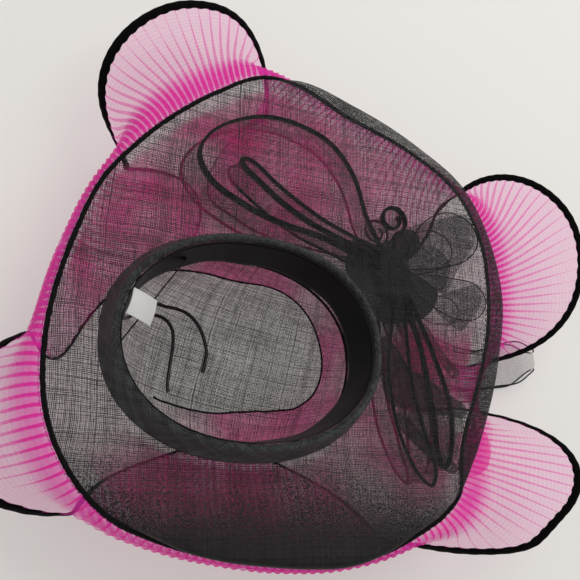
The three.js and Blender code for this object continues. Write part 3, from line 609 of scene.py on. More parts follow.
# Brim: angle, the rim's reach and rise, then the turn's, as shares of brimReach and brimCurl
brimStations = np.array([
    (-155, 0.77, 0.33, 0.7, 0.28), (-140, 0.785, 0.2, 0.72, 0.22), (-126, 0.785, 0.03, 0.735, 0.15),
    (-115, 0.77, -0.17, 0.745, 0.08), (-104, 0.765, -0.37, 0.76, 0.03), (-94, 0.77, -0.5, 0.77, 0.03),
    (-83, 0.795, -0.57, 0.79, 0.07), (-72, 0.84, -0.57, 0.835, 0.1), (-60, 0.91, -0.43, 0.9, 0.1),
    (-51, 0.96, -0.2, 0.93, 0.13), (-43, 0.995, -0.03, 0.945, 0.15), (-36, 1.035, 0.03, 0.98, 0.15),
    (-29, 1.06, -0.03, 1.025, 0.13), (-22, 1.05, -0.37, 1.05, 0.13), (-14, 1.06, -0.57, 1.07, 0.15),
    (-6, 1.105, -0.73, 1.1, 0.13), (2, 1.165, -0.83, 1.14, 0.1), (16, 1.28, -0.9, 1.24, 0),
    (28, 1.37, -0.9, 1.29, -0.03), (39, 1.39, -0.83, 1.31, -0.03), (51, 1.315, -0.7, 1.26, 0),
    (66, 1.215, -0.4, 1.2, 0.17), (79, 1.195, 0.03, 1.17, 0.23), (88, 1.15, 0.23, 1.075, 0.28),
    (98, 1.045, 0.3, 0.965, 0.3), (109, 0.95, 0.37, 0.875, 0.32), (122, 0.87, 0.37, 0.8, 0.32),
    (135, 0.815, 0.37, 0.745, 0.32), (151, 0.75, 0.37, 0.68, 0.3), (167, 0.725, 0.37, 0.66, 0.3),
    (-175, 0.735, 0.37, 0.67, 0.3),
])
brimRows = brimStations[np.argsort(brimStations[:, 0] % 360)].copy()
brimRows[:, 0] %= 360


def ovalRadius(angle, offset, share=1.0):
    across = np.abs(np.cos(np.radians(angle))) / ((hat["headLength"] / 2 + offset) * share)
    along = np.abs(np.sin(np.radians(angle))) / ((hat["headWidth"] / 2 + offset) * share)
    power = hat["squareness"]
    return (across**power + along**power) ** (-1 / power)


def polar(angle, radius, height):
    angle, radius, height = np.broadcast_arrays(np.radians(angle), radius, height)
    return np.stack([radius * np.cos(angle), radius * np.sin(angle), height], axis=-1)


def brimValue(angle, column):
    count = len(brimRows)
    places = np.concatenate([brimRows[-2:, 0] - 360, brimRows[:, 0], brimRows[:2, 0] + 360])
    values = np.concatenate([brimRows[-2:, column], brimRows[:, column], brimRows[:2, column]])
    slopes = (values[2:] - values[:-2]) / (places[2:] - places[:-2])
    turned = np.asarray(angle, float) % 360
    k = np.searchsorted(places, turned, side="right") - 1
    k = np.clip(k, 1, count + 1)
    span = places[k + 1] - places[k]
    t = (turned - places[k]) / span
    start = values[k] * (1 + 2 * t) * (1 - t) ** 2 + span * slopes[k - 1] * t * (1 - t) ** 2
    end = values[k + 1] * (3 - 2 * t) * t**2 + span * slopes[k] * t**2 * (t - 1)
    return start + end


def brimPoint(angle, row):
    # Row 0 is the crown seam, 1 the collar's foot, 2 the middle, 3 the turn, 4 the rim
    angle, row = np.broadcast_arrays(np.asarray(angle, float), np.asarray(row, float))
    seam = ovalRadius(angle, hat["crownEase"] + hat["seat"])
    foot = ovalRadius(angle, hat["collarFlare"] + hat["collarWall"])
    rim, turn = (hat["brimReach"] * brimValue(angle, column) for column in (1, 3))
    rimLevel, turnLevel = (brimLevel + hat["brimCurl"] * brimValue(angle, column) for column in (2, 4))
    stops = np.stack([
        polar(angle, seam, brimLevel), polar(angle, foot, brimLevel),
        polar(angle, mix(foot, turn, 0.5), mix(brimLevel, turnLevel, 0.6)),
        polar(angle, turn, turnLevel), polar(angle, rim, rimLevel),
    ])
    start = np.minimum(np.floor(row).astype(int), 3)
    t = (row - start)[..., None]

    def stop(k):
        return np.take_along_axis(stops, np.clip(k, 0, 4)[None, ..., None], axis=0)[0]

    here, after = stop(start), stop(start + 1)
    leave = (after - stop(start - 1)) / 2
    arrive = (stop(start + 2) - here) / 2
    curve = (2 * here - 2 * after + leave + arrive) * t**3
    curve = curve + (3 * after - 3 * here - 2 * leave - arrive) * t**2 + leave * t + here
    return np.where((start == 0)[..., None], here + (after - here) * t, curve)


def brimNormal(angle, row):
    step = 0.05
    row = np.asarray(row, float)
    low, high = np.maximum(row - step, 0), np.minimum(row + step, 4)
    across = brimPoint(angle, high) - brimPoint(angle, low)
    around = brimPoint(np.asarray(angle) + step, row) - brimPoint(np.asarray(angle) - step, row)
    return unit(-np.cross(across, around))


def rimDirection(angle):
    return unit(brimPoint(angle, 4.0) - brimPoint(angle, 3.9))


def evenAngles(count):
    return np.arange(count) * 360.0 / count


def buildCrown():
    crown = {"columns": 144, "ringsPerSection": 6, "tipRings": 8, "lift": 0.0002, "gap": 0.0004}
    outline = np.array([(size, height) for height, size in crownSections])
    outline = smoothPath(outline, 1 + crown["ringsPerSection"] * (len(outline) - 1))
    outline = np.concatenate([outline, [(1.0, 1 + hat["crownLap"] / brimLevel)]])
    tip = np.stack([np.linspace(0.02, outline[0, 0], crown["tipRings"], endpoint=False),
                    np.zeros(crown["tipRings"])], axis=1)
    outline = np.concatenate([tip, outline])
    angle = evenAngles(crown["columns"])[:, None]
    radius = ovalRadius(angle, hat["crownEase"], outline[None, :, 0])
    grid = polar(angle, radius - crown["gap"], brimLevel * outline[None, :, 1] + crown["lift"])
    grid[..., 2] = np.maximum(grid[..., 2], crown["lift"])
    steps = np.linalg.norm(np.diff(grid, axis=1), axis=-1)
    run = np.concatenate([radius[:, :1], radius[:, :1] + np.cumsum(steps, axis=1)], axis=1)
    turn = np.radians(angle + 12.0)
    uv = pairs(run * np.cos(turn), run * np.sin(turn))
    columns, rows = grid.shape[:2]
    points = np.concatenate([grid.reshape(-1, 3), [(0, 0, crown["lift"])]])
    faces = gridFaces(columns, rows, closedColumns=True)
    faces += [(columns * rows, i * rows, ((i + 1) % columns) * rows) for i in range(columns)]
    piece = makeMesh("crown_weave", points, faces, np.concatenate([uv.reshape(-1, 2), [(0, 0)]]))
    finishPiece(piece, crownSinamay, "crown")


def crownSize(height):
    heights = [section[0] for section in crownSections]
    return np.interp(height / brimLevel, heights, [section[1] for section in crownSections])


def ringMesh(name, angles, section, material, node, weaveTurn=0.0):
    # Closed ring with a closed section: section(angles) gives points by column and side
    grid = section(angles)
    length = np.linalg.norm(np.roll(grid, -1, axis=0)[:, 0] - grid[:, 0], axis=-1)
    along = np.concatenate([[0], np.cumsum(length)[:-1]])[:, None] * np.ones(grid.shape[1])
    sides = np.linalg.norm(np.roll(grid, -1, axis=1)[0] - grid[0], axis=-1)
    across = np.ones((grid.shape[0], 1)) * np.concatenate([[0], np.cumsum(sides)[:-1]])
    turn = math.radians(weaveTurn)
    u, v = along * math.cos(turn) - across * math.sin(turn), along * math.sin(turn) + across * math.cos(turn)
    piece = gridMesh(name, grid, pairs(u, v), closedColumns=True, closedRows=True)
    finishPiece(piece, material, node)


def buildCrownTrim():
    def section(angles):
        angle = angles[:, None]
        middle = ovalRadius(angle, hat["crownEase"], crownSize(hat["trimHeight"])) + hat["seat"]
        k = roundSteps(12)
        out = hat["trimWall"] * (0.5 + 0.5 * np.cos(k))
        up = hat["trimWidth"] / 2 * np.sin(k) * (1 + 0.06 * np.sin(np.radians(angle) * 41))
        return polar(angle, middle + out, hat["trimHeight"] + up)
    ringMesh("crown_trim_strip", evenAngles(220), section, trimCloth, "crown_trim")


def buildCollar():
    foot = brimLevel + hat["brimWall"] / 2 + hat["seat"]
    tall = hat["depth"] - foot
    collar = {"columns": 240, "soft": 0.00035, "softRate": 160, "weaveTurn": 38}
    roll, flare, wall = hat["rollWidth"], hat["collarFlare"], hat["collarWall"]
    waist = mix(roll, flare, 0.35)
    outline = np.array([
        (flare, 0), (waist, 0.35), (roll, 0.75), (roll * 0.8, 0.95), (roll * 0.4, 1), (roll * 0.1, 0.97),
        (0, 0.87), (roll * 0.2, 0.74), (roll - wall, 0.62), (waist - wall, 0.3), (flare - wall, 0),
    ])
    outline = np.concatenate([smoothPath(outline * (1, tall), 40), [(flare - wall / 2, 0)]])

    def section(angles):
        angle = angles[:, None]
        spots = np.broadcast_arrays(angle / 7.0, outline[:, 1] * collar["softRate"])
        soft = collar["soft"] * wobbleValue(*spots, 3.0)
        grid = polar(angle, ovalRadius(angle, outline[:, 0]) + soft, foot + outline[:, 1])
        grid[..., 2] = np.minimum(grid[..., 2], hat["depth"])
        return grid
    angles = evenAngles(collar["columns"])
    ringMesh("collar_cloth", angles, section, collarCloth, "collar", collar["weaveTurn"])


def bandRadius(angle, height):
    top = hat["depth"] - hat["bandDrop"]
    lean = hat["bandLean"] * np.clip((top - height) / hat["bandWidth"], 0, 1)
    return ovalRadius(angle, -hat["seat"] - lean) - hat["bandWall"]


def buildSweatband():
    band = {"columns": 220, "rows": 12, "hemWave": 0.018, "slack": 0.0006}
    top, rows = hat["depth"] - hat["bandDrop"], band["rows"]
    share = np.concatenate([np.linspace(0, 1, rows), np.linspace(1, 0, rows)])
    outer = np.repeat([0.0, 1.0], rows)

    def section(angles):
        angle = angles[:, None]
        drop = hat["bandWidth"] * share * (1 + band["hemWave"] * np.sin(np.radians(angle) * 5 + 1))
        height = top - drop
        slack = band["slack"] * share * (1 + np.sin(np.radians(angle) * 9)) * (1 - outer)
        return polar(angle, bandRadius(angle, height) + hat["bandWall"] * outer - slack, height)
    ringMesh("sweatband_satin", evenAngles(band["columns"]), section, satin, "sweatband")


def buildBrim():
    brim = {"columns": 360, "rows": 44, "soft": 0.0006, "softScale": 0.05}
    angle = evenAngles(brim["columns"])[:, None]
    row = np.linspace(0, 4, brim["rows"])[None, :]
    grid = brimPoint(angle, row)
    sag = wobble(grid, brim["soft"], brim["softScale"], 5.0)[..., 2:] * np.sin(np.pi * row / 4)[..., None]
    grid = grid + sag * brimNormal(angle, row)
    steps = np.linalg.norm(np.diff(grid, axis=1), axis=-1)
    seam = ovalRadius(angle, hat["crownEase"] + hat["seat"])
    run = np.concatenate([seam, seam + np.cumsum(steps, axis=1)], axis=1)
    turn = np.radians(angle)
    uv = pairs(run * np.cos(turn), run * np.sin(turn))
    piece = gridMesh("brim_weave", grid, uv, closedColumns=True)
    finishPiece(piece, sinamay, "brim")


def buildBinding():
    binding = {"columns": 900, "lap": 0.0009, "reach": 0.003, "fuzz": 0.0005, "fuzzScale": 0.0021}
    k = roundSteps(12)
    reach = binding["lap"] + binding["reach"]
    out = reach * (0.5 - 0.5 * np.cos(k)) - binding["lap"]
    side = hat["bindingThickness"] / 2 * np.sin(k)

    def section(angles):
        away, up, rim = rimDirection(angles), brimNormal(angles, 4.0), brimPoint(angles, 4.0)
        grid = rim[:, None] + away[:, None] * out[:, None] + up[:, None] * side[:, None]
        return grid + wobble(grid, binding["fuzz"], binding["fuzzScale"], 9.0)
    ringMesh("binding_strip", evenAngles(binding["columns"]), section, trimCloth, "brim_binding")


buildCrown()
buildCrownTrim()
buildCollar()
buildSweatband()
buildBrim()
buildBinding()
print("crown, collar and brim made")

# Ruffle: one row for each lobe and for each folded stretch after it, anticlockwise, as the frame has it
ruffle = {
    "hang": 0.13, "crestReach": 0.02, "crestRise": 0.013, "foldReach": 0.013,
    "flatness": 0.85, "tuck": 0.0043,
    "velvetWidth": 0.0095, "velvetStanding": 0.0024, "velvetThickness": 0.0025,
    "cloth": 0.0118,  # cloth in one pleat, folds and all
    "rows": 44, "deepest": 1.15,
    "rimFold": 0.0009, "lobeFold": 0.0002, "hiddenFold": 0.0012,
}
foldColumns = ("lobe", "at", "edge", "depth", "lean", "spread", "tilt", "height", "pleats")
ruffleFolds = [dict(zip(foldColumns, row)) for row in (
    (True, (3, 40), (3.6, 37.3), 0.69, 3.7, 1.7, 0.21, 0.56, 36),
    (False, (40, 84), (37.3, 80.3), 0.67, 8, 14, 0, 0, 34),
    (True, (84, 127), (80.3, 117), 0.845, 11.2, 0.8, 0.04, 0.58, 30),
    (False, (127, 180), (117, 174.8), 0.88, -12, 20, 0, 0, 27),
    (True, (180, 229), (174.8, 227.8), 1.26, 0, -8.4, 0.1, 0.48, 20),
    (False, (229, 316), (227.8, 316.6), 1.2, 0, 5, 0, 0, 38),
    (True, (316, 354), (316.6, 353.4), 1.05, 3.4, -1.7, -0.24, 0.66, 27),
    (False, (354, 363), (353.4, 363.6), 0.55, 0, 4, 0, 0.22, 8),
)]


def foldColumn(key, index, item=None):
    values = np.array([float(row[key] if item is None else row[key][item]) for row in ruffleFolds])
    return values[index]


def ruffleBase(angle):
    away = hat["edgeSeat"] + hat["bindingWidth"] + hat["ruffleStandoff"]
    return brimPoint(angle, 4.0) + rimDirection(angle) * away


def ruffleEdge(angle):
    # Velvet edge for a rim angle, and how far the stretch is a lobe (1) or a fold (-1)
    start = ruffleFolds[0]["at"][0]
    turned = start + (np.asarray(angle, float) - start) % 360
    index = np.searchsorted([row["at"][1] for row in ruffleFolds], turned, side="left")
    index = np.minimum(index, len(ruffleFolds) - 1)
    low, high = foldColumn("at", index, 0), foldColumn("at", index, 1)
    edgeLow, edgeHigh = foldColumn("edge", index, 0), foldColumn("edge", index, 1)
    turn = np.pi * (turned - low) / (high - low)
    swell = np.sin(turn)
    skew = foldColumn("lean", index) * swell - foldColumn("spread", index) * np.sin(2 * turn)
    edgeAngle = (edgeLow + edgeHigh) / 2 - (edgeHigh - edgeLow) / 2 * np.cos(turn) + skew
    side = np.where(foldColumn("lobe", index) > 0, 1.0, -1.0)
    reach = 1 + side * foldColumn("depth", index) * (swell + foldColumn("tilt", index) * np.sin(2 * turn))
    rim = ruffleBase(edgeAngle)
    radius = mix(ovalRadius(edgeAngle, hat["crownEase"]), np.hypot(rim[..., 0], rim[..., 1]), reach)
    climb = np.maximum(swell, 0) ** 0.6
    height = ruffle["velvetThickness"] / 2
    height = height + hat["depth"] * mix(ruffle["hang"], foldColumn("height", index), climb)
    return polar(edgeAngle, radius, height), side * swell


def rufflePoint(angle, v):
    # Middle surface of the ruffle: v runs from the rim to the velvet's outer edge
    angle, v = np.broadcast_arrays(np.asarray(angle, float), np.asarray(v, float))
    base = ruffleBase(angle) - rimDirection(angle) * ruffle["tuck"]
    edge, lobe = ruffleEdge(angle)
    weight = (0.5 + 0.5 * np.sin(np.pi / 2 * lobe))[..., None]
    step = 0.5
    along = brimPoint(angle + step, 4.0) - brimPoint(angle - step, 4.0)
    along[..., 2] = 0
    along = unit(along)
    out = np.stack([along[..., 1], -along[..., 0], 0 * along[..., 0]], axis=-1)
    up = np.array([0.0, 0.0, 1.0])
    lobeFirst = base + out * ruffle["crestReach"] + up * ruffle["crestRise"]
    lobeSecond = mix(base, edge, 0.55)
    lobeSecond[..., 2] = mix(base[..., 2], edge[..., 2], ruffle["flatness"]) + ruffle["crestRise"] / 4
    foldFirst = base + out * ruffle["foldReach"]
    foldSecond = base + out * ruffle["foldReach"] * 0.6
    foldSecond[..., 2] = mix(base[..., 2], edge[..., 2], 0.9)
    first, second = mix(foldFirst, lobeFirst, weight), mix(foldSecond, lobeSecond, weight)
    v = v[..., None]
    w = 1 - v
    return base * w**3 + first * 3 * w * w * v + second * 3 * w * v * v + edge * v**3


def ruffleNormal(angle, v):
    turn, slide = 0.2, 0.01
    around = rufflePoint(angle + turn, v) - rufflePoint(angle - turn, v)
    across = rufflePoint(angle, np.minimum(v + slide, 1)) - rufflePoint(angle, np.maximum(v - slide, 0))
    return unit(np.cross(around, across))


def pleatPlaces():
    # Rim angle for a count of pleats: knots at even lengths of rim in each stretch
    counts, angles = [0.0], [float(ruffleFolds[0]["at"][0])]
    for row in ruffleFolds:
        fine = np.linspace(*row["at"], 200)
        length = runAlong(brimPoint(fine, 4.0))
        counts += list(counts[-1] + row["pleats"] * length[1:] / length[-1])
        angles += list(fine[1:])
    return np.array(counts), np.array(angles)


pleatCounts, pleatAngles = pleatPlaces()
pleatTotal = pleatCounts[-1]


def angleAt(count):
    # A short running mean keeps the pitch from jumping where stretches meet
    total = 0.0
    for shift in (-2.0, -1.0, 0.0, 1.0, 2.0):
        place = np.asarray(count, float) + shift
        laps = np.floor(place / pleatTotal)
        total = total + np.interp(place - laps * pleatTotal, pleatCounts, pleatAngles) + 360 * laps
    return total / 5


def countAt(angle):
    laps = np.floor((angle - pleatAngles[0]) / 360)
    return np.interp(angle - 360 * laps, pleatAngles, pleatCounts) + laps * pleatTotal


def buildRufflePanel(number, countFrom, countTo):
    folds = np.arange(math.ceil(countFrom), math.ceil(countTo) + 1)
    rows = ruffle["rows"]
    v = np.linspace(0, 0.995, rows)[None, :]
    plain = rufflePoint(angleAt(folds)[:, None] + 0 * v, v + 0 * folds[:, None])
    pitch = np.linalg.norm(np.diff(plain, axis=0), axis=-1)
    lap = np.clip((ruffle["cloth"] / pitch - 1) / 2, 0.03, ruffle["deepest"])
    _, lobe = ruffleEdge(angleAt(folds[:-1] + 0.5))
    opened = np.maximum(lobe, 0)[:, None]
    hidden = np.maximum(-lobe, 0)[:, None]
    rise = mix(ruffle["rimFold"], ruffle["hiddenFold"], hidden)
    rise = mix(rise, ruffle["lobeFold"], opened * np.clip(v * 2.2 - 0.2, 0, 1))
    rise = rise * np.clip(0.35 + v * 6, 0, 1)
    # Each pleat runs from its back fold to its front fold, which laps over the next one
    start, end = folds[:-1, None] + 0 * v, folds[1:, None] + lap
    columns = np.stack([start, mix(start, end, 0.35), mix(start, end, 0.7), end], axis=1)
    lift = np.stack([-rise, rise * 0.1, rise * 0.75, rise], axis=1)
    columns, lift = columns.reshape(-1, rows), lift.reshape(-1, rows)
    angle = angleAt(columns)
    vGrid = np.broadcast_to(v, angle.shape)
    grid = rufflePoint(angle, vGrid) + ruffleNormal(angle, vGrid) * lift[..., None]
    steps = np.linalg.norm(np.diff(grid, axis=1), axis=-1)
    down = np.concatenate([np.zeros((len(grid), 1)), np.cumsum(steps, axis=1)], axis=1)
    along = np.arange(len(grid))[:, None] * ruffle["cloth"] / 4 * np.ones(rows)
    piece = gridMesh("ruffle_cloth_%d" % number, grid, pairs(along, down))
    finishPiece(piece, organza, "ruffle_panel_%d" % number, crease=50)


def velvetShare(angle):
    # Share of the way to the edge at which the velvet starts
    shares = np.linspace(0.5, 1, 60)
    points = rufflePoint(angle[:, None] + 0 * shares, shares + 0 * angle[:, None])
    steps = np.linalg.norm(np.diff(points, axis=1), axis=-1)
    left = np.concatenate([np.cumsum(steps[:, ::-1], axis=1)[:, ::-1], np.zeros((len(angle), 1))], axis=1)
    # In the folded stretches the ribbon stands on edge, so less of its width shows
    _, lobe = ruffleEdge(angle)
    width = mix(ruffle["velvetWidth"], ruffle["velvetStanding"], np.clip(-lobe * 2.5, 0, 1))
    return np.array([np.interp(-wide, -row, shares) for wide, row in zip(width, left)])


def buildVelvet(number, countFrom, countTo):
    velvet = {"perPleat": 4, "sides": 12, "scallop": 0.0007, "flat": 0.82, "lowest": 0.0001}
    counts = np.linspace(countFrom, countTo, int((countTo - countFrom) * velvet["perPleat"]) + 1)
    angle = angleAt(counts)
    share = velvetShare(angle)
    inner, outer = rufflePoint(angle, share), rufflePoint(angle, 1.0)
    across = outer - inner
    normal = ruffleNormal(angle, 0.5 * (share + 1) * 0.98)
    k = roundSteps(velvet["sides"])
    out = rounded(np.cos(k), 0.7)
    side = rounded(np.sin(k), 0.8) * ruffle["velvetThickness"] / 2
    wave = np.sin(math.tau * counts)[:, None, None]
    middle = 0.5 * (inner + outer)[:, None]
    scallop = unit(across)[:, None] * velvet["scallop"] * wave * np.clip(-out, 0, 1)[:, None]
    grid = middle + across[:, None] * 0.5 * out[:, None] + scallop
    swell = (1 - velvet["flat"]) * side.max() * np.cos(math.tau * counts)[:, None, None]
    grid = grid + normal[:, None] * (side[:, None] * velvet["flat"] + swell)
    grid[..., 2] = np.maximum(grid[..., 2], velvet["lowest"])
    piece = makeMesh("velvet_ribbon_%d" % number, grid.reshape(-1, 3), tubeFaces(*grid.shape[:2]))
    finishPiece(piece, velvetCloth, "velvet_edge_%d" % number)


def buildRuffle():
    turns = [sum(row["at"]) / 2 for row in ruffleFolds if not row["lobe"]]
    for index, to in enumerate(turns):
        start = turns[-1] - 360 if index == 0 else turns[index - 1]
        countFrom, countTo = float(countAt(start)), float(countAt(to))
        buildRufflePanel(index + 1, countFrom, countTo)
        buildVelvet(index + 1, countFrom, countTo)


buildRuffle()
print("ruffle made")

# Bow: loops as shares of reach from the knot, seen from above
bow = {
    "reach": 0.2, "ribbon": 0.042, "drop": 0.007, "knotAngle": 29.0, "knotPlace": 0.158,
    "knotSize": (0.038, 0.06, 0.03), "curlRadius": 0.014, "curlHem": 0.0075, "lowerHem": 0.0026,
    "hemWall": 0.0028,
    "rows": 10, "lowest": 0.0003, "faintHem": 0.002,
}
bowLoops = [
    {"name": "bow_loop_long", "hem": 0.0085, "ribbon": 1.0, "lean": -0.007, "turns": [
        (-0.04, 0.08), (-0.13, 0.25), (-0.19, 0.44), (-0.3, 0.575), (-0.45, 0.635), (-0.6, 0.64),
        (-0.74, 0.59), (-0.84, 0.51), (-0.88, 0.42), (-0.83, 0.315), (-0.69, 0.225), (-0.51, 0.165),
        (-0.33, 0.13), (-0.17, 0.07), (-0.06, 0.02)]},
    {"name": "bow_loop_upper", "hem": 0.0011, "ribbon": 0.85, "lean": -0.005, "turns": [
        (0.05, 0.09), (0.135, 0.25), (0.27, 0.33), (0.39, 0.3), (0.43, 0.205), (0.36, 0.11),
        (0.21, 0.055), (0.07, 0.03)]},
    {"name": "bow_loop_inner", "hem": 0.0075, "ribbon": 0.7, "lean": -0.005, "turns": [
        (-0.05, 0.075), (-0.2, 0.15), (-0.335, 0.205), (-0.45, 0.27), (-0.56, 0.345), (-0.66, 0.422),
        (-0.7, 0.425), (-0.69, 0.395), (-0.62, 0.335), (-0.51, 0.254), (-0.4, 0.19), (-0.2, 0.115),
        (-0.06, 0.05)]},
    {"name": "bow_loop_side", "hem": 0.0009, "ribbon": 0.9, "lean": -0.005, "turns": [
        (0.06, 0.01), (0.27, 0.015), (0.4, 0), (0.45, -0.07), (0.4, -0.155), (0.27, -0.165),
        (0.15, -0.11), (0.06, -0.04)]},
    {"name": "bow_loop_narrow", "hem": 0.0036, "ribbon": 1.0, "lean": 0.004, "turns": [
        (0, -0.09), (-0.04, -0.285), (-0.05, -0.485), (-0.01, -0.685), (0.07, -0.84), (0.13, -0.88),
        (0.15, -0.83), (0.11, -0.685), (0.06, -0.485), (0.04, -0.285), (0.03, -0.09)]},
    {"name": "bow_loop_lower", "hem": 0.0075, "ribbon": 1.05, "lean": 0.004, "turns": [
        (0.07, -0.1), (0.16, -0.31), (0.235, -0.535), (0.235, -0.71), (0.2, -0.805), (0.17, -0.75),
        (0.16, -0.62), (0.135, -0.435), (0.1, -0.27), (0.05, -0.12)]},
]


def knotCentre():
    angle = bow["knotAngle"]
    underside = brimPoint(angle, 2.0)[2] - hat["brimWall"] / 2 - hat["seat"]
    return polar(angle, bow["knotPlace"], underside - bow["knotSize"][2] / 2 - 0.0004)


knot = knotCentre()


def ribbonParts(path, height, lean, hem, bulge=0.0012):
    # Upright ribbon under a path: woven face, and a doubled hem along each edge
    along = np.gradient(path, axis=0)
    side = unit(np.stack([-along[:, 1], along[:, 0], 0 * along[:, 0]], axis=-1))
    share = np.linspace(0, 1, bow["rows"])
    lower = path + side * lean
    lower[:, 2] = np.maximum(bow["lowest"], path[:, 2] - height)
    grid = path[:, None] + (lower - path)[:, None] * share[:, None]
    grid = grid + side[:, None] * (bulge * np.sin(np.pi * share))[:, None]
    grid = grid + wobble(grid, 0.0005, 0.03, 2.0)
    uv = pairs(runAlong(path)[:, None], share * height)
    parts = [(grid, gridFaces(*grid.shape[:2]), uv, 0)]
    down = unit(lower - path)
    for edge, way, size in ((grid[:, 0], 1.0, hem), (grid[:, -1], -1.0, min(hem, bow["lowerHem"]))):
        middle = edge + down * way * size / 2
        ring = tubeRings(middle, down, side, size / 2, min(size, bow["hemWall"]) / 2, 8)
        ring[..., 2] = np.maximum(ring[..., 2], bow["lowest"])
        parts.append((ring, gridFaces(len(ring), 8, closedRows=True), None, 1))
    return parts


def buildRibbon(name, node, path, height, lean, hem):
    # The two fainter loops have the narrowest hems
    face = faintSinamay if hem < bow["faintHem"] else ribbonSinamay
    piece = makeMesh(name, *joinParts(ribbonParts(path, height, lean, hem)))
    finishPiece(piece, [face, hemCloth], node)


def fromKnot(x, y, level):
    return knot[0] + x * bow["reach"], knot[1] + y * bow["reach"], level


def buildLoops():
    top = brimLevel - bow["drop"]
    for loop in bowLoops:
        route = [fromKnot(x, y, top) for x, y in loop["turns"]]
        path = smoothPath(route, 120)
        height = bow["ribbon"] * loop["ribbon"]
        buildRibbon(loop["name"] + "_ribbon", loop["name"], path, height, loop["lean"], loop["hem"])


def buildCurl():
    curl = {"gap": 0.008, "turns": (-80, 400), "step": 30, "closeUp": 0.55}
    top = brimLevel - bow["drop"]
    long = bow["knotSize"][1]
    middle = knot + (0, long / 2 + bow["curlRadius"] + curl["gap"], 0)
    route = [(knot[0] + 0.001, knot[1] + long * 0.3, top)]
    first, last = curl["turns"]
    for turn in range(first, last + 1, curl["step"]):
        radius = bow["curlRadius"] * (1 - curl["closeUp"] * (turn - first) / (last - first))
        x, y, _ = polar(turn, radius, 0) + middle
        route.append((x, y, top))
    buildRibbon("bow_curl_ribbon", "bow_curl", smoothPath(route, 110), bow["ribbon"] * 0.9, 0, bow["curlHem"])


def buildKnot():
    # Wrapped band drawn in at its middle, with gathers
    shape = {"columns": 72, "rows": 36, "gathers": 9, "gatherDepth": 0.07}
    around = np.radians(evenAngles(shape["columns"]))[:, None]
    up = np.linspace(-np.pi / 2 + 0.02, np.pi / 2 - 0.02, shape["rows"])[None, :]
    ridge = 1 - shape["gatherDepth"] * (0.5 + 0.5 * np.sin(around * shape["gathers"] + 2 * np.sin(up * 2)))
    x = np.cos(up) * np.cos(around) * ridge
    y = np.cos(up) * np.sin(around) * ridge
    z = np.sin(up) + 0 * around
    size = np.array(bow["knotSize"]) / 2
    local = np.stack([x, y, z], axis=-1) * size
    turn = math.radians(bow["knotAngle"] / 2)
    spin = np.array([[math.cos(turn), -math.sin(turn), 0], [math.sin(turn), math.cos(turn), 0], [0, 0, 1]])
    grid = local @ spin.T + knot
    uv = pairs(around * size[0], up * size[2])
    columns, rows = grid.shape[:2]
    faces = domeFaces(columns, rows)
    faces.append(tuple((columns - 1 - i) * rows + rows - 1 for i in range(columns)))
    piece = makeMesh("bow_knot_wrap", grid.reshape(-1, 3), faces, uv.reshape(-1, 2))
    finishPiece(piece, denseSinamay, "bow_knot")


# Broad leaves of the bow that lie flat under the brim, as outlines in millimetres seen from above
bowLeaves = [
    {"name": "bow_leaf_dark", "cloth": "dense", "level": 77, "weaveTurn": 20, "outline": [
        (102, 108), (117, 103), (133, 108), (147, 120), (157, 122), (165, 119), (166, 110), (157, 97),
        (145, 84), (131, 75), (114, 77), (99, 84)]},
    {"name": "bow_leaf_body", "cloth": "dense", "level": 74, "weaveTurn": -25, "outline": [
        (101, 99), (121, 94), (145, 87), (167, 81), (184, 68), (180, 55), (167, 42), (145, 36), (127, 35),
        (111, 50), (98, 68), (93, 84)]},
    {"name": "bow_leaf_grey", "cloth": "open", "level": 71, "weaveTurn": 35, "outline": [
        (148, 120), (175, 134), (204, 144), (222, 149), (228, 139), (229, 124), (211, 97), (192, 69),
        (172, 82), (150, 87), (154, 104)]},
    {"name": "bow_leaf_speckled", "cloth": "open", "level": 68, "weaveTurn": 10, "outline": [
        (152, 90), (168, 109), (179, 115), (199, 106), (202, 90), (188, 70), (171, 83)]},
    {"name": "bow_leaf_side", "cloth": "open", "level": 70, "weaveTurn": 55, "outline": [
        (185, 63), (192, 69), (210, 76), (231, 81), (232, 65), (221, 49), (208, 36), (191, 46), (182, 54)]},
    {"name": "bow_leaf_band", "cloth": "medium", "level": 75, "weaveTurn": -30, "outline": [
        (126, 23), (139, 16), (143, 1), (164, -8), (186, -21), (205, -33), (203, -41), (177, -40),
        (153, -37), (132, -35), (124, -15), (122, 6)]},
    {"name": "bow_leaf_fold", "cloth": "open", "level": 66, "weaveTurn": 0, "outline": [
        (165, 42), (175, 39), (187, 24), (196, 11), (207, -1), (200, -7), (182, 15), (162, 35)]},
    {"name": "bow_leaf_tail", "cloth": "medium", "level": 76, "weaveTurn": -40, "outline": [
        (136, -42), (149, -47), (165, -63), (182, -75), (192, -83), (189, -89), (173, -83), (155, -69),
        (139, -54)]},
    {"name": "organza_petal", "cloth": "organza", "level": 58, "weaveTurn": 0, "outline": [
        (196, -60), (213, -50), (226, -46), (236, -52), (239, -66), (235, -80), (224, -88), (206, -88),
        (196, -76)]},
    {"name": "bow_leaf_lower", "cloth": "open", "level": 72, "weaveTurn": 15, "outline": [
        (139, -37), (169, -39), (203, -41), (199, -61), (191, -79), (177, -70), (158, -56)]},
]
leafShape = {"dome": 0.003, "sag": 0.0009, "rings": 12, "columns": 90}


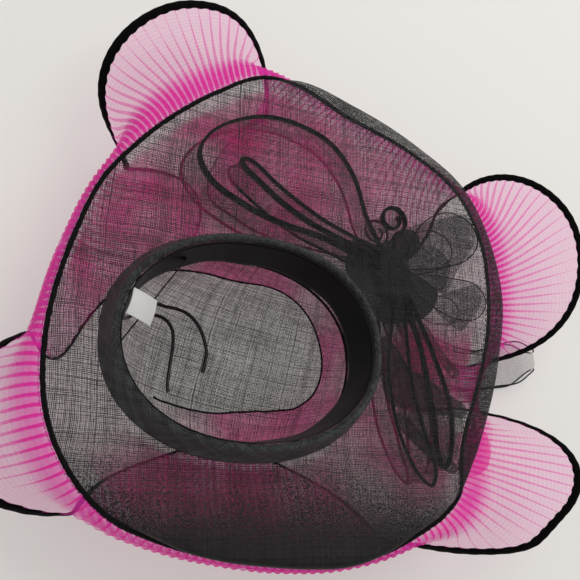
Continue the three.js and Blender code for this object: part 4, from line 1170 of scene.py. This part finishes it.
def buildLeaf(leaf):
    outline = np.array(leaf["outline"], float) / 1000
    closed = smoothPath(np.concatenate([outline[-2:], outline, outline[:3]]), 4 * leafShape["columns"])
    # The lead-in and lead-out of the closed curve are left out
    start = np.argmin(np.linalg.norm(closed - outline[0], axis=1)[: len(closed) // 2])
    end = len(closed) // 2 + np.argmin(np.linalg.norm(closed - outline[0], axis=1)[len(closed) // 2:])
    edge = resample(closed[start:end + 1], leafShape["columns"] + 1)[:-1]
    middle = edge.mean(axis=0)
    share = np.linspace(0.02, 1, leafShape["rings"])[None, :, None]
    flat = middle + (edge[:, None] - middle) * share
    ripple = leafShape["sag"] * wobbleValue(flat[..., 0] * 60, flat[..., 1] * 60, leaf["level"])
    z = leaf["level"] / 1000 - leafShape["dome"] * share[..., 0] ** 2 + ripple
    grid = np.concatenate([flat, z[..., None]], axis=-1)
    turn = math.radians(leaf["weaveTurn"])
    uv = flat @ np.array([[math.cos(turn), math.sin(turn)], [-math.sin(turn), math.cos(turn)]])
    if leaf["cloth"] == "organza":
        uv = np.full(uv.shape, 0.5)
    faces = domeFaces(*grid.shape[:2])
    piece = makeMesh(leaf["name"], grid.reshape(-1, 3), faces, uv.reshape(-1, 2))
    cloths = {"dense": denseSinamay, "medium": mediumSinamay, "open": bowSinamay, "organza": organzaLayers}
    finishPiece(piece, cloths[leaf["cloth"]], None)


# Layers of organza gathered up under the brim, between two angles: inner edge outside the crown's wall
# and outer edge as a share of the rim's reach
underFolds = [
    {"name": "organza_fold_wide", "at": (26, 180), "inside": 0.012, "reach": 0.985, "gathers": 46},
    {"name": "organza_fold_side", "at": (-44, 16), "inside": 0.014, "reach": 0.97, "gathers": 18},
]
# The fold under the low side hangs from the collar's foot and the brim's turn
lowFold = {"at": (-150, -38), "hang": 0.026, "wall": 0.001, "gathers": 36, "rows": 34, "outerRow": 3.04}
gatherLook = {
    "perGather": 10, "rows": 30, "stray": 1.5, "softRate": 22, "level": 0.042, "arch": 0.006,
    "belowRim": 0.008,
}
# Bunched organza where the pink shows strongest: middle and half sizes in millimetres, turn in degrees
organzaPuffs = [
    {"name": "organza_puff_far", "middle": (-68, 138, 52), "half": (24, 44), "turn": 25},
    {"name": "organza_puff_top", "middle": (0, 190, 58), "half": (60, 24), "turn": -6},
    {"name": "organza_puff_loop", "middle": (56, 130, 62), "half": (52, 30), "turn": 35},
    {"name": "organza_puff_side", "middle": (176, 22, 55), "half": (52, 40), "turn": -60},
    {"name": "organza_puff_rim", "middle": (178, -98, 46), "half": (50, 26), "turn": 30},
    {"name": "organza_puff_near", "middle": (-36, -106, 59), "half": (34, 20), "turn": -30},
    {"name": "organza_puff_crest", "middle": (212, -108, 60), "half": (36, 15), "turn": 50},
]


def foldPlaces(gathers, rows):
    return np.linspace(0, 1, gathers * gatherLook["perGather"])[:, None], np.linspace(0, 1, rows)[None, :]


def gatherPhases(share, row, gathers, seed):
    # Gathers side by side, each of them straying a little
    stray = wobbleValue(*np.broadcast_arrays(share * 40, row * 2), seed)
    return share * gathers * math.tau + gatherLook["stray"] * stray


def softWaves(grid, height, seed):
    rate = gatherLook["softRate"]
    return height * wobbleValue(grid[..., 0] * rate, grid[..., 1] * rate, seed)


def finishFold(name, grid, share, row):
    finishPiece(gridMesh(name, grid, pairs(share, row)), organzaLayers, None)


def buildUnderFold(fold, phase):
    share, row = foldPlaces(fold["gathers"], gatherLook["rows"])
    angle = mix(*fold["at"], share)
    inner = ovalRadius(angle, fold["inside"])
    outer = fold["reach"] * hat["brimReach"] * brimValue(angle, 1)
    grid = polar(angle, inner + (outer - inner) * row, 0.0)
    rim = brimPoint(angle, 4.0)[..., 2] - gatherLook["belowRim"]
    gather = 0.0016 * np.sin(gatherPhases(share, row, fold["gathers"], phase)) * (0.3 + 0.7 * row)
    level = mix(gatherLook["level"], rim, row**3) + gatherLook["arch"] * np.sin(np.pi * row)
    grid[..., 2] = level + gather + softWaves(grid, 0.004, phase)
    finishFold(fold["name"], grid, share, row)


def buildLowFold():
    share, row = foldPlaces(lowFold["gathers"], lowFold["rows"])
    angle = mix(*lowFold["at"], share) + 0 * row
    place = mix(1, lowFold["outerRow"], row) + 0 * share
    below = hat["brimWall"] / 2 + hat["seat"] + lowFold["wall"] / 2
    # The brim's normal points down, away from the collar
    grid = brimPoint(angle, place) + brimNormal(angle, place) * below
    gather = 0.0012 * np.sin(gatherPhases(share, row, lowFold["gathers"], 6.0))
    grid[..., 2] += np.sin(np.pi * row) * (gather + softWaves(grid, 0.003, 6.0) - lowFold["hang"])
    finishFold("organza_fold_low", grid, share, row)


puffShape = {
    "columns": 48, "rings": 12, "ripple": 0.002, "rippleRate": 70, "pleat": 0.0006, "pleatRate": 1500,
}


def buildPuff(puff, seed):
    angle = np.radians(evenAngles(puffShape["columns"]))[:, None]
    share = np.linspace(0.03, 1, puffShape["rings"])[None, :]
    x, y = (size / 1000 * share * wave for size, wave in zip(puff["half"], (np.cos(angle), np.sin(angle))))
    turn, middle = math.radians(puff["turn"]), np.array(puff["middle"]) / 1000
    rate = puffShape["rippleRate"]
    ripple = puffShape["ripple"] * wobbleValue(x * rate + seed, y * rate, seed)
    ripple = ripple + puffShape["pleat"] * np.sin(x * puffShape["pleatRate"])
    grid = np.stack([
        x * math.cos(turn) - y * math.sin(turn), x * math.sin(turn) + y * math.cos(turn), ripple], axis=-1)
    # The cloth fades out where its second place nears 0, at the edge
    uv = pairs(np.full(x.shape, 0.5), 0.1 * (1 - share))
    piece = makeMesh(puff["name"], (grid + middle).reshape(-1, 3), domeFaces(*x.shape), uv.reshape(-1, 2))
    finishPiece(piece, organzaLayers, None)


# Organza that hugs the crown's wall outside, with its lower edge's level by angle
crownSkirt = {
    "gap": 0.003, "top": 0.082, "columns": 300, "rows": 20, "edge": 0.0009, "lowerEdge": (
        (-150, 0.007), (-146, 0.005), (-130, 0.003), (-110, 0.0022), (-60, 0.0024), (-36, 0.006),
        (-28, 0.014), (-22, 0.024), (-4, 0.03), (16, 0.031), (30, 0.034), (44, 0.037), (58, 0.036),
        (72, 0.031), (86, 0.03), (102, 0.035), (124, 0.046), (150, 0.068)),
}


def buildCrownSkirt():
    angles, levels = zip(*crownSkirt["lowerEdge"])
    angle = np.linspace(angles[0], angles[-1], crownSkirt["columns"])
    # A running mean over 16 degrees rounds the corners of the lower edge
    low = np.mean([np.interp(angle + a, angles, levels) for a in np.linspace(-8, 8, 9)], axis=0)
    share = np.linspace(0, 1, crownSkirt["rows"])
    z = low[:, None] + (crownSkirt["top"] - low)[:, None] * share
    gather = 0.0005 * np.sin(np.radians(angle) * 50)[:, None] * share
    away = crownSkirt["gap"] + gather
    grid = polar(angle[:, None], ovalRadius(angle[:, None], hat["crownEase"], crownSize(z)) + away, z)
    uv = pairs((angle[:, None] - angle[0]) / np.ptp(angle), np.full(z.shape, 0.5))
    along = unit(np.gradient(grid[:, 0], axis=0))
    out = unit(np.cross(along, (0, 0, 1)))
    ring = tubeRings(grid[:, 0], out, np.cross(out, along), crownSkirt["edge"], crownSkirt["edge"], 6)
    ringFaces = gridFaces(len(ring), 6, closedRows=True)
    parts = [(grid, gridFaces(*grid.shape[:2]), uv, 0), (ring, ringFaces, None, 1)]
    piece = makeMesh("organza_crown_skirt", *joinParts(parts))
    finishPiece(piece, [organzaLayers, velvetCloth], None)


netLoop = {
    "out": [(0.04, -0.04, 0.6), (0.07, -0.08, 0.42), (0.17, -0.13, 0.34), (0.34, -0.19, 0.32),
            (0.54, -0.235, 0.32), (0.69, -0.19, 0.32), (0.81, -0.165, 0.3), (0.9, -0.185, 0.26)],
    "back": [(0.04, -0.1, 0.6), (0.1, -0.14, 0.42), (0.2, -0.25, 0.3), (0.36, -0.38, 0.2),
             (0.55, -0.405, 0.17), (0.72, -0.38, 0.17), (0.84, -0.355, 0.17), (0.92, -0.3, 0.18)],
    "height": 0.0125, "columns": 44, "rows": 14, "edge": 0.0007, "tip": 1.4, "tipRows": 7,
    "ripple": 0.0008, "lowest": 0.0004,
}


def buildNetLoop():
    # Flat sleeve of net: an upper layer out to the tip, turned over there, and a lower layer back
    def side(key):
        return smoothPath([fromKnot(x, y, brimLevel * z) for x, y, z in netLoop[key]], netLoop["columns"])
    one, other = side("out"), side("back")
    r = np.linspace(0, 1, netLoop["rows"])[None, :, None]
    upper = mix(one[:, None], other[:, None], r)
    tipWay = unit(upper[-1:] - upper[-2:-1])
    bend = np.linspace(0, np.pi, netLoop["tipRows"] + 2)[1:-1, None, None]
    half = netLoop["height"] / 2
    tip = upper[-1:] + tipWay * half * np.sin(bend) * netLoop["tip"]
    tip = tip - np.array([0, 0, 1]) * half * (1 - np.cos(bend))
    lower = upper[::-1].copy()
    lower[..., 2] = np.maximum(0.0006, lower[..., 2] - netLoop["height"])
    grid = np.concatenate([upper, tip, lower])
    grid[..., 2] += netLoop["ripple"] * np.sin(r[..., 0] * 7 + np.arange(len(grid))[:, None] * 0.2)
    grid[..., 2] = np.maximum(grid[..., 2], netLoop["lowest"])
    parts = [(grid, gridFaces(*grid.shape[:2]), None, 0)]
    for edge in (grid[:, 0], grid[:, -1]):
        along = unit(np.gradient(edge, axis=0))
        across = unit(np.cross(along, (0, 0, 1)))
        up = np.cross(across, along)
        ring = tubeRings(edge, across, up, netLoop["edge"], netLoop["edge"], 6)
        ring[..., 2] = np.maximum(ring[..., 2], netLoop["lowest"] / 2)
        parts.append((ring, gridFaces(len(ring), 6, closedRows=True), None, 1))
    piece = makeMesh("net_loop_sleeve", *joinParts(parts))
    finishPiece(piece, [netCloth, hemCloth], "net_loop")


buildLoops()
buildCurl()
buildKnot()
for leafRow in bowLeaves:
    buildLeaf(leafRow)
for foldNumber, foldRow in enumerate(underFolds):
    buildUnderFold(foldRow, 4.0 + foldNumber)
buildLowFold()
for puffNumber, puffRow in enumerate(organzaPuffs):
    buildPuff(puffRow, 20.0 + puffNumber)
buildCrownSkirt()
buildNetLoop()
print("bow made")

# Lining details: blank label, size strap and stitches
lining = {
    "labelLength": 0.024, "labelWidth": 0.02, "labelWall": 0.001, "labelAngle": 167.0, "labelTilt": 32.0,
    "labelColumns": 26, "labelRows": 22, "labelCurl": 0.0011, "labelBow": 0.0007, "labelGap": 0.0016,
    "strapWidth": 0.005, "strapWall": 0.0012, "strapAt": (128.0, 183.0), "strapLevel": 0.091,
    "strapSag": 0.004, "strapSteps": 60, "strapSides": 12,
}


def buildLabel():
    size, tilt, angle = lining, math.radians(lining["labelTilt"]), math.radians(lining["labelAngle"])
    columns, rows = size["labelColumns"], size["labelRows"]
    x = np.linspace(-size["labelLength"], 0, columns)[:, None]
    y = np.linspace(-size["labelWidth"] / 2, size["labelWidth"] / 2, rows)[None, :]
    curl = size["labelCurl"] * np.sin(np.pi * (x / size["labelLength"] + 1))
    curl = curl + size["labelBow"] * np.cos(y / size["labelWidth"] * 5)
    layers = []
    for sign in (1, -1):
        z = curl + sign * size["labelWall"] / 2 * 0.7 - size["labelCurl"]
        local = np.stack([x + 0 * y, y + 0 * x, z], axis=-1)
        # Tilted about Y, then turned about Z
        turned = np.stack([
            local[..., 0] * math.cos(tilt) - local[..., 2] * math.sin(tilt), local[..., 1],
            local[..., 0] * math.sin(tilt) + local[..., 2] * math.cos(tilt)], axis=-1)
        spun = np.stack([
            turned[..., 0] * math.cos(angle) - turned[..., 1] * math.sin(angle),
            turned[..., 0] * math.sin(angle) + turned[..., 1] * math.cos(angle), turned[..., 2]], axis=-1)
        layers.append(spun)
    hem = hat["depth"] - hat["bandDrop"] - 0.003
    gap = hat["seat"] + size["labelWall"] * math.sin(tilt) + size["labelGap"]
    place = polar(size["labelAngle"], bandRadius(size["labelAngle"], hem) - gap, hem)
    top, bottom = layers[0] + place, layers[1] + place
    ring = [i * rows for i in range(columns)] + [(columns - 1) * rows + j for j in range(1, rows)]
    ring += [i * rows + rows - 1 for i in range(columns - 2, -1, -1)] + [j for j in range(rows - 2, 0, -1)]
    count = columns * rows
    faces = gridFaces(columns, rows) + [tuple(reversed(f)) for f in gridFaces(columns, rows, start=count)]
    faces += [(a, b, count + b, count + a) for a, b in zip(ring, ring[1:] + ring[:1])]
    uv = pairs(x, y).reshape(-1, 2)
    points = np.concatenate([top.reshape(-1, 3), bottom.reshape(-1, 3)])
    piece = makeMesh("size_label_cloth", points, faces, np.concatenate([uv, uv]))
    finishPiece(piece, labelSatin, "size_label", crease=40)


def buildStrap():
    level, drop = lining["strapLevel"], 0.003
    ends = [polar(a, bandRadius(a, level - drop) - lining["strapWall"], level) for a in lining["strapAt"]]
    middle = mix(ends[0], ends[1], 0.5) - (0, 0, lining["strapSag"])
    path = smoothPath([ends[0], middle, ends[1]], lining["strapSteps"])
    along = np.gradient(path, axis=0)
    side = unit(np.stack([-along[:, 1], along[:, 0], 0 * along[:, 0]], axis=-1))
    k = roundSteps(lining["strapSides"])
    out = rounded(np.cos(k), 0.5) * lining["strapWall"] / 2
    up = rounded(np.sin(k), 0.5) * lining["strapWidth"] / 2 - lining["strapWidth"] / 2
    grid = path[:, None] + side[:, None] * out[:, None] + np.array([0, 0, 1]) * up[:, None]
    uv = pairs(runAlong(path)[:, None], up)
    faces = tubeFaces(*grid.shape[:2])
    piece = makeMesh("size_strap_elastic", grid.reshape(-1, 3), faces, uv.reshape(-1, 2))
    finishPiece(piece, elastic, "size_strap")


def dashParts(middles, ways, ups, length, radius):
    # Small stitches: six-sided tubes that taper at both ends
    share = np.array([-1, -0.75, 0, 0.75, 1])
    thick = radius * np.array([0.15, 0.8, 1, 0.8, 0.15])[:, None, None]
    parts = []
    for middle, way, up in zip(middles, ways, ups):
        spine = middle + way * (share * length / 2)[:, None] + up * (radius * 0.6 * (1 - share**2))[:, None]
        ring = tubeRings(spine, np.cross(way, up)[None], up[None], thick, thick, 6)
        parts.append((ring, tubeFaces(5, 6), None, 0))
    return parts


def buildStitches():
    # Running stitch where the ruffle meets the binding
    stitch = {"count": 330, "length": 0.0026, "radius": 0.0004, "lift": 0.0012, "tuck": 0.0031, "slant": 0.35}
    angle = evenAngles(stitch["count"])
    base = ruffleBase(angle)
    away, up = rimDirection(angle), brimNormal(angle, 4.0)
    along = unit(np.cross(up, away))
    tip = unit(along + stitch["slant"] * away * np.sin(np.arange(stitch["count"]) * 2.4)[:, None])
    middles = base + up * stitch["lift"] - away * stitch["tuck"]
    parts = dashParts(middles, tip, up, stitch["length"], stitch["radius"])
    piece = makeMesh("ruffle_stitches", *joinParts(parts))
    finishPiece(piece, stitchThread, None)


buildLabel()
buildStrap()
buildStitches()
print("lining made")


# Floor and light
stage = {
    "floorSize": 8.0, "floorColour": (0.62, 0.615, 0.59), "glow": 0.485,
    "worldColour": (1.0, 0.99, 0.975), "worldStrength": 0.42, "lampsAim": (0.05, 0.03, 0.05),
}
lamps = [
    {"name": "windowLight", "place": (0.7, 1.0, 1.5), "size": 1.4, "power": 14, "colour": (1.0, 0.99, 0.97)},
    {"name": "fillLight", "place": (-1.2, -0.6, 1.2), "size": 1.6, "power": 3.2, "colour": (1.0, 0.97, 0.94)},
]


def buildStage():
    half = stage["floorSize"] / 2
    corners = [(-half, -half, 0), (half, -half, 0), (half, half, 0), (-half, half, 0)]
    material, tree = newTree("paleFloor")
    grain = noiseOf(tree, objectPlace(tree), 3.0, 2.0)
    light = stage["floorColour"]
    colour = blendColour(tree, grain, (*(c * 0.985 for c in light), 1), (*light, 1))
    shader = addNode(tree, "BsdfPrincipled", {
        "Base Color": colour, "Roughness": 0.8, "Emission Color": colour, "Emission Strength": stage["glow"],
    })
    showSurface(tree, shader)
    floor = makeMesh("floor", corners, [(0, 1, 2, 3)])
    floor.data.materials.append(material)
    world = bpy.data.worlds.new("softRoom")
    world.use_nodes = True
    sky = world.node_tree.nodes["Background"]
    sky.inputs["Color"].default_value = (*stage["worldColour"], 1)
    sky.inputs["Strength"].default_value = stage["worldStrength"]
    scene.world = world
    for lamp in lamps:
        data = bpy.data.lights.new(lamp["name"], "AREA")
        data.size = lamp["size"]
        data.energy = lamp["power"]
        data.color = lamp["colour"]
        holder = bpy.data.objects.new(lamp["name"], data)
        holder.location = lamp["place"]
        aim = Vector(stage["lampsAim"]) - Vector(lamp["place"])
        holder.rotation_mode = "QUATERNION"
        holder.rotation_quaternion = aim.to_track_quat("-Z", "Y")
        scene.collection.objects.link(holder)


buildStage()
scene.view_settings.view_transform = "Standard"
scene.cycles.transparent_max_bounces = 64
print("stage made")
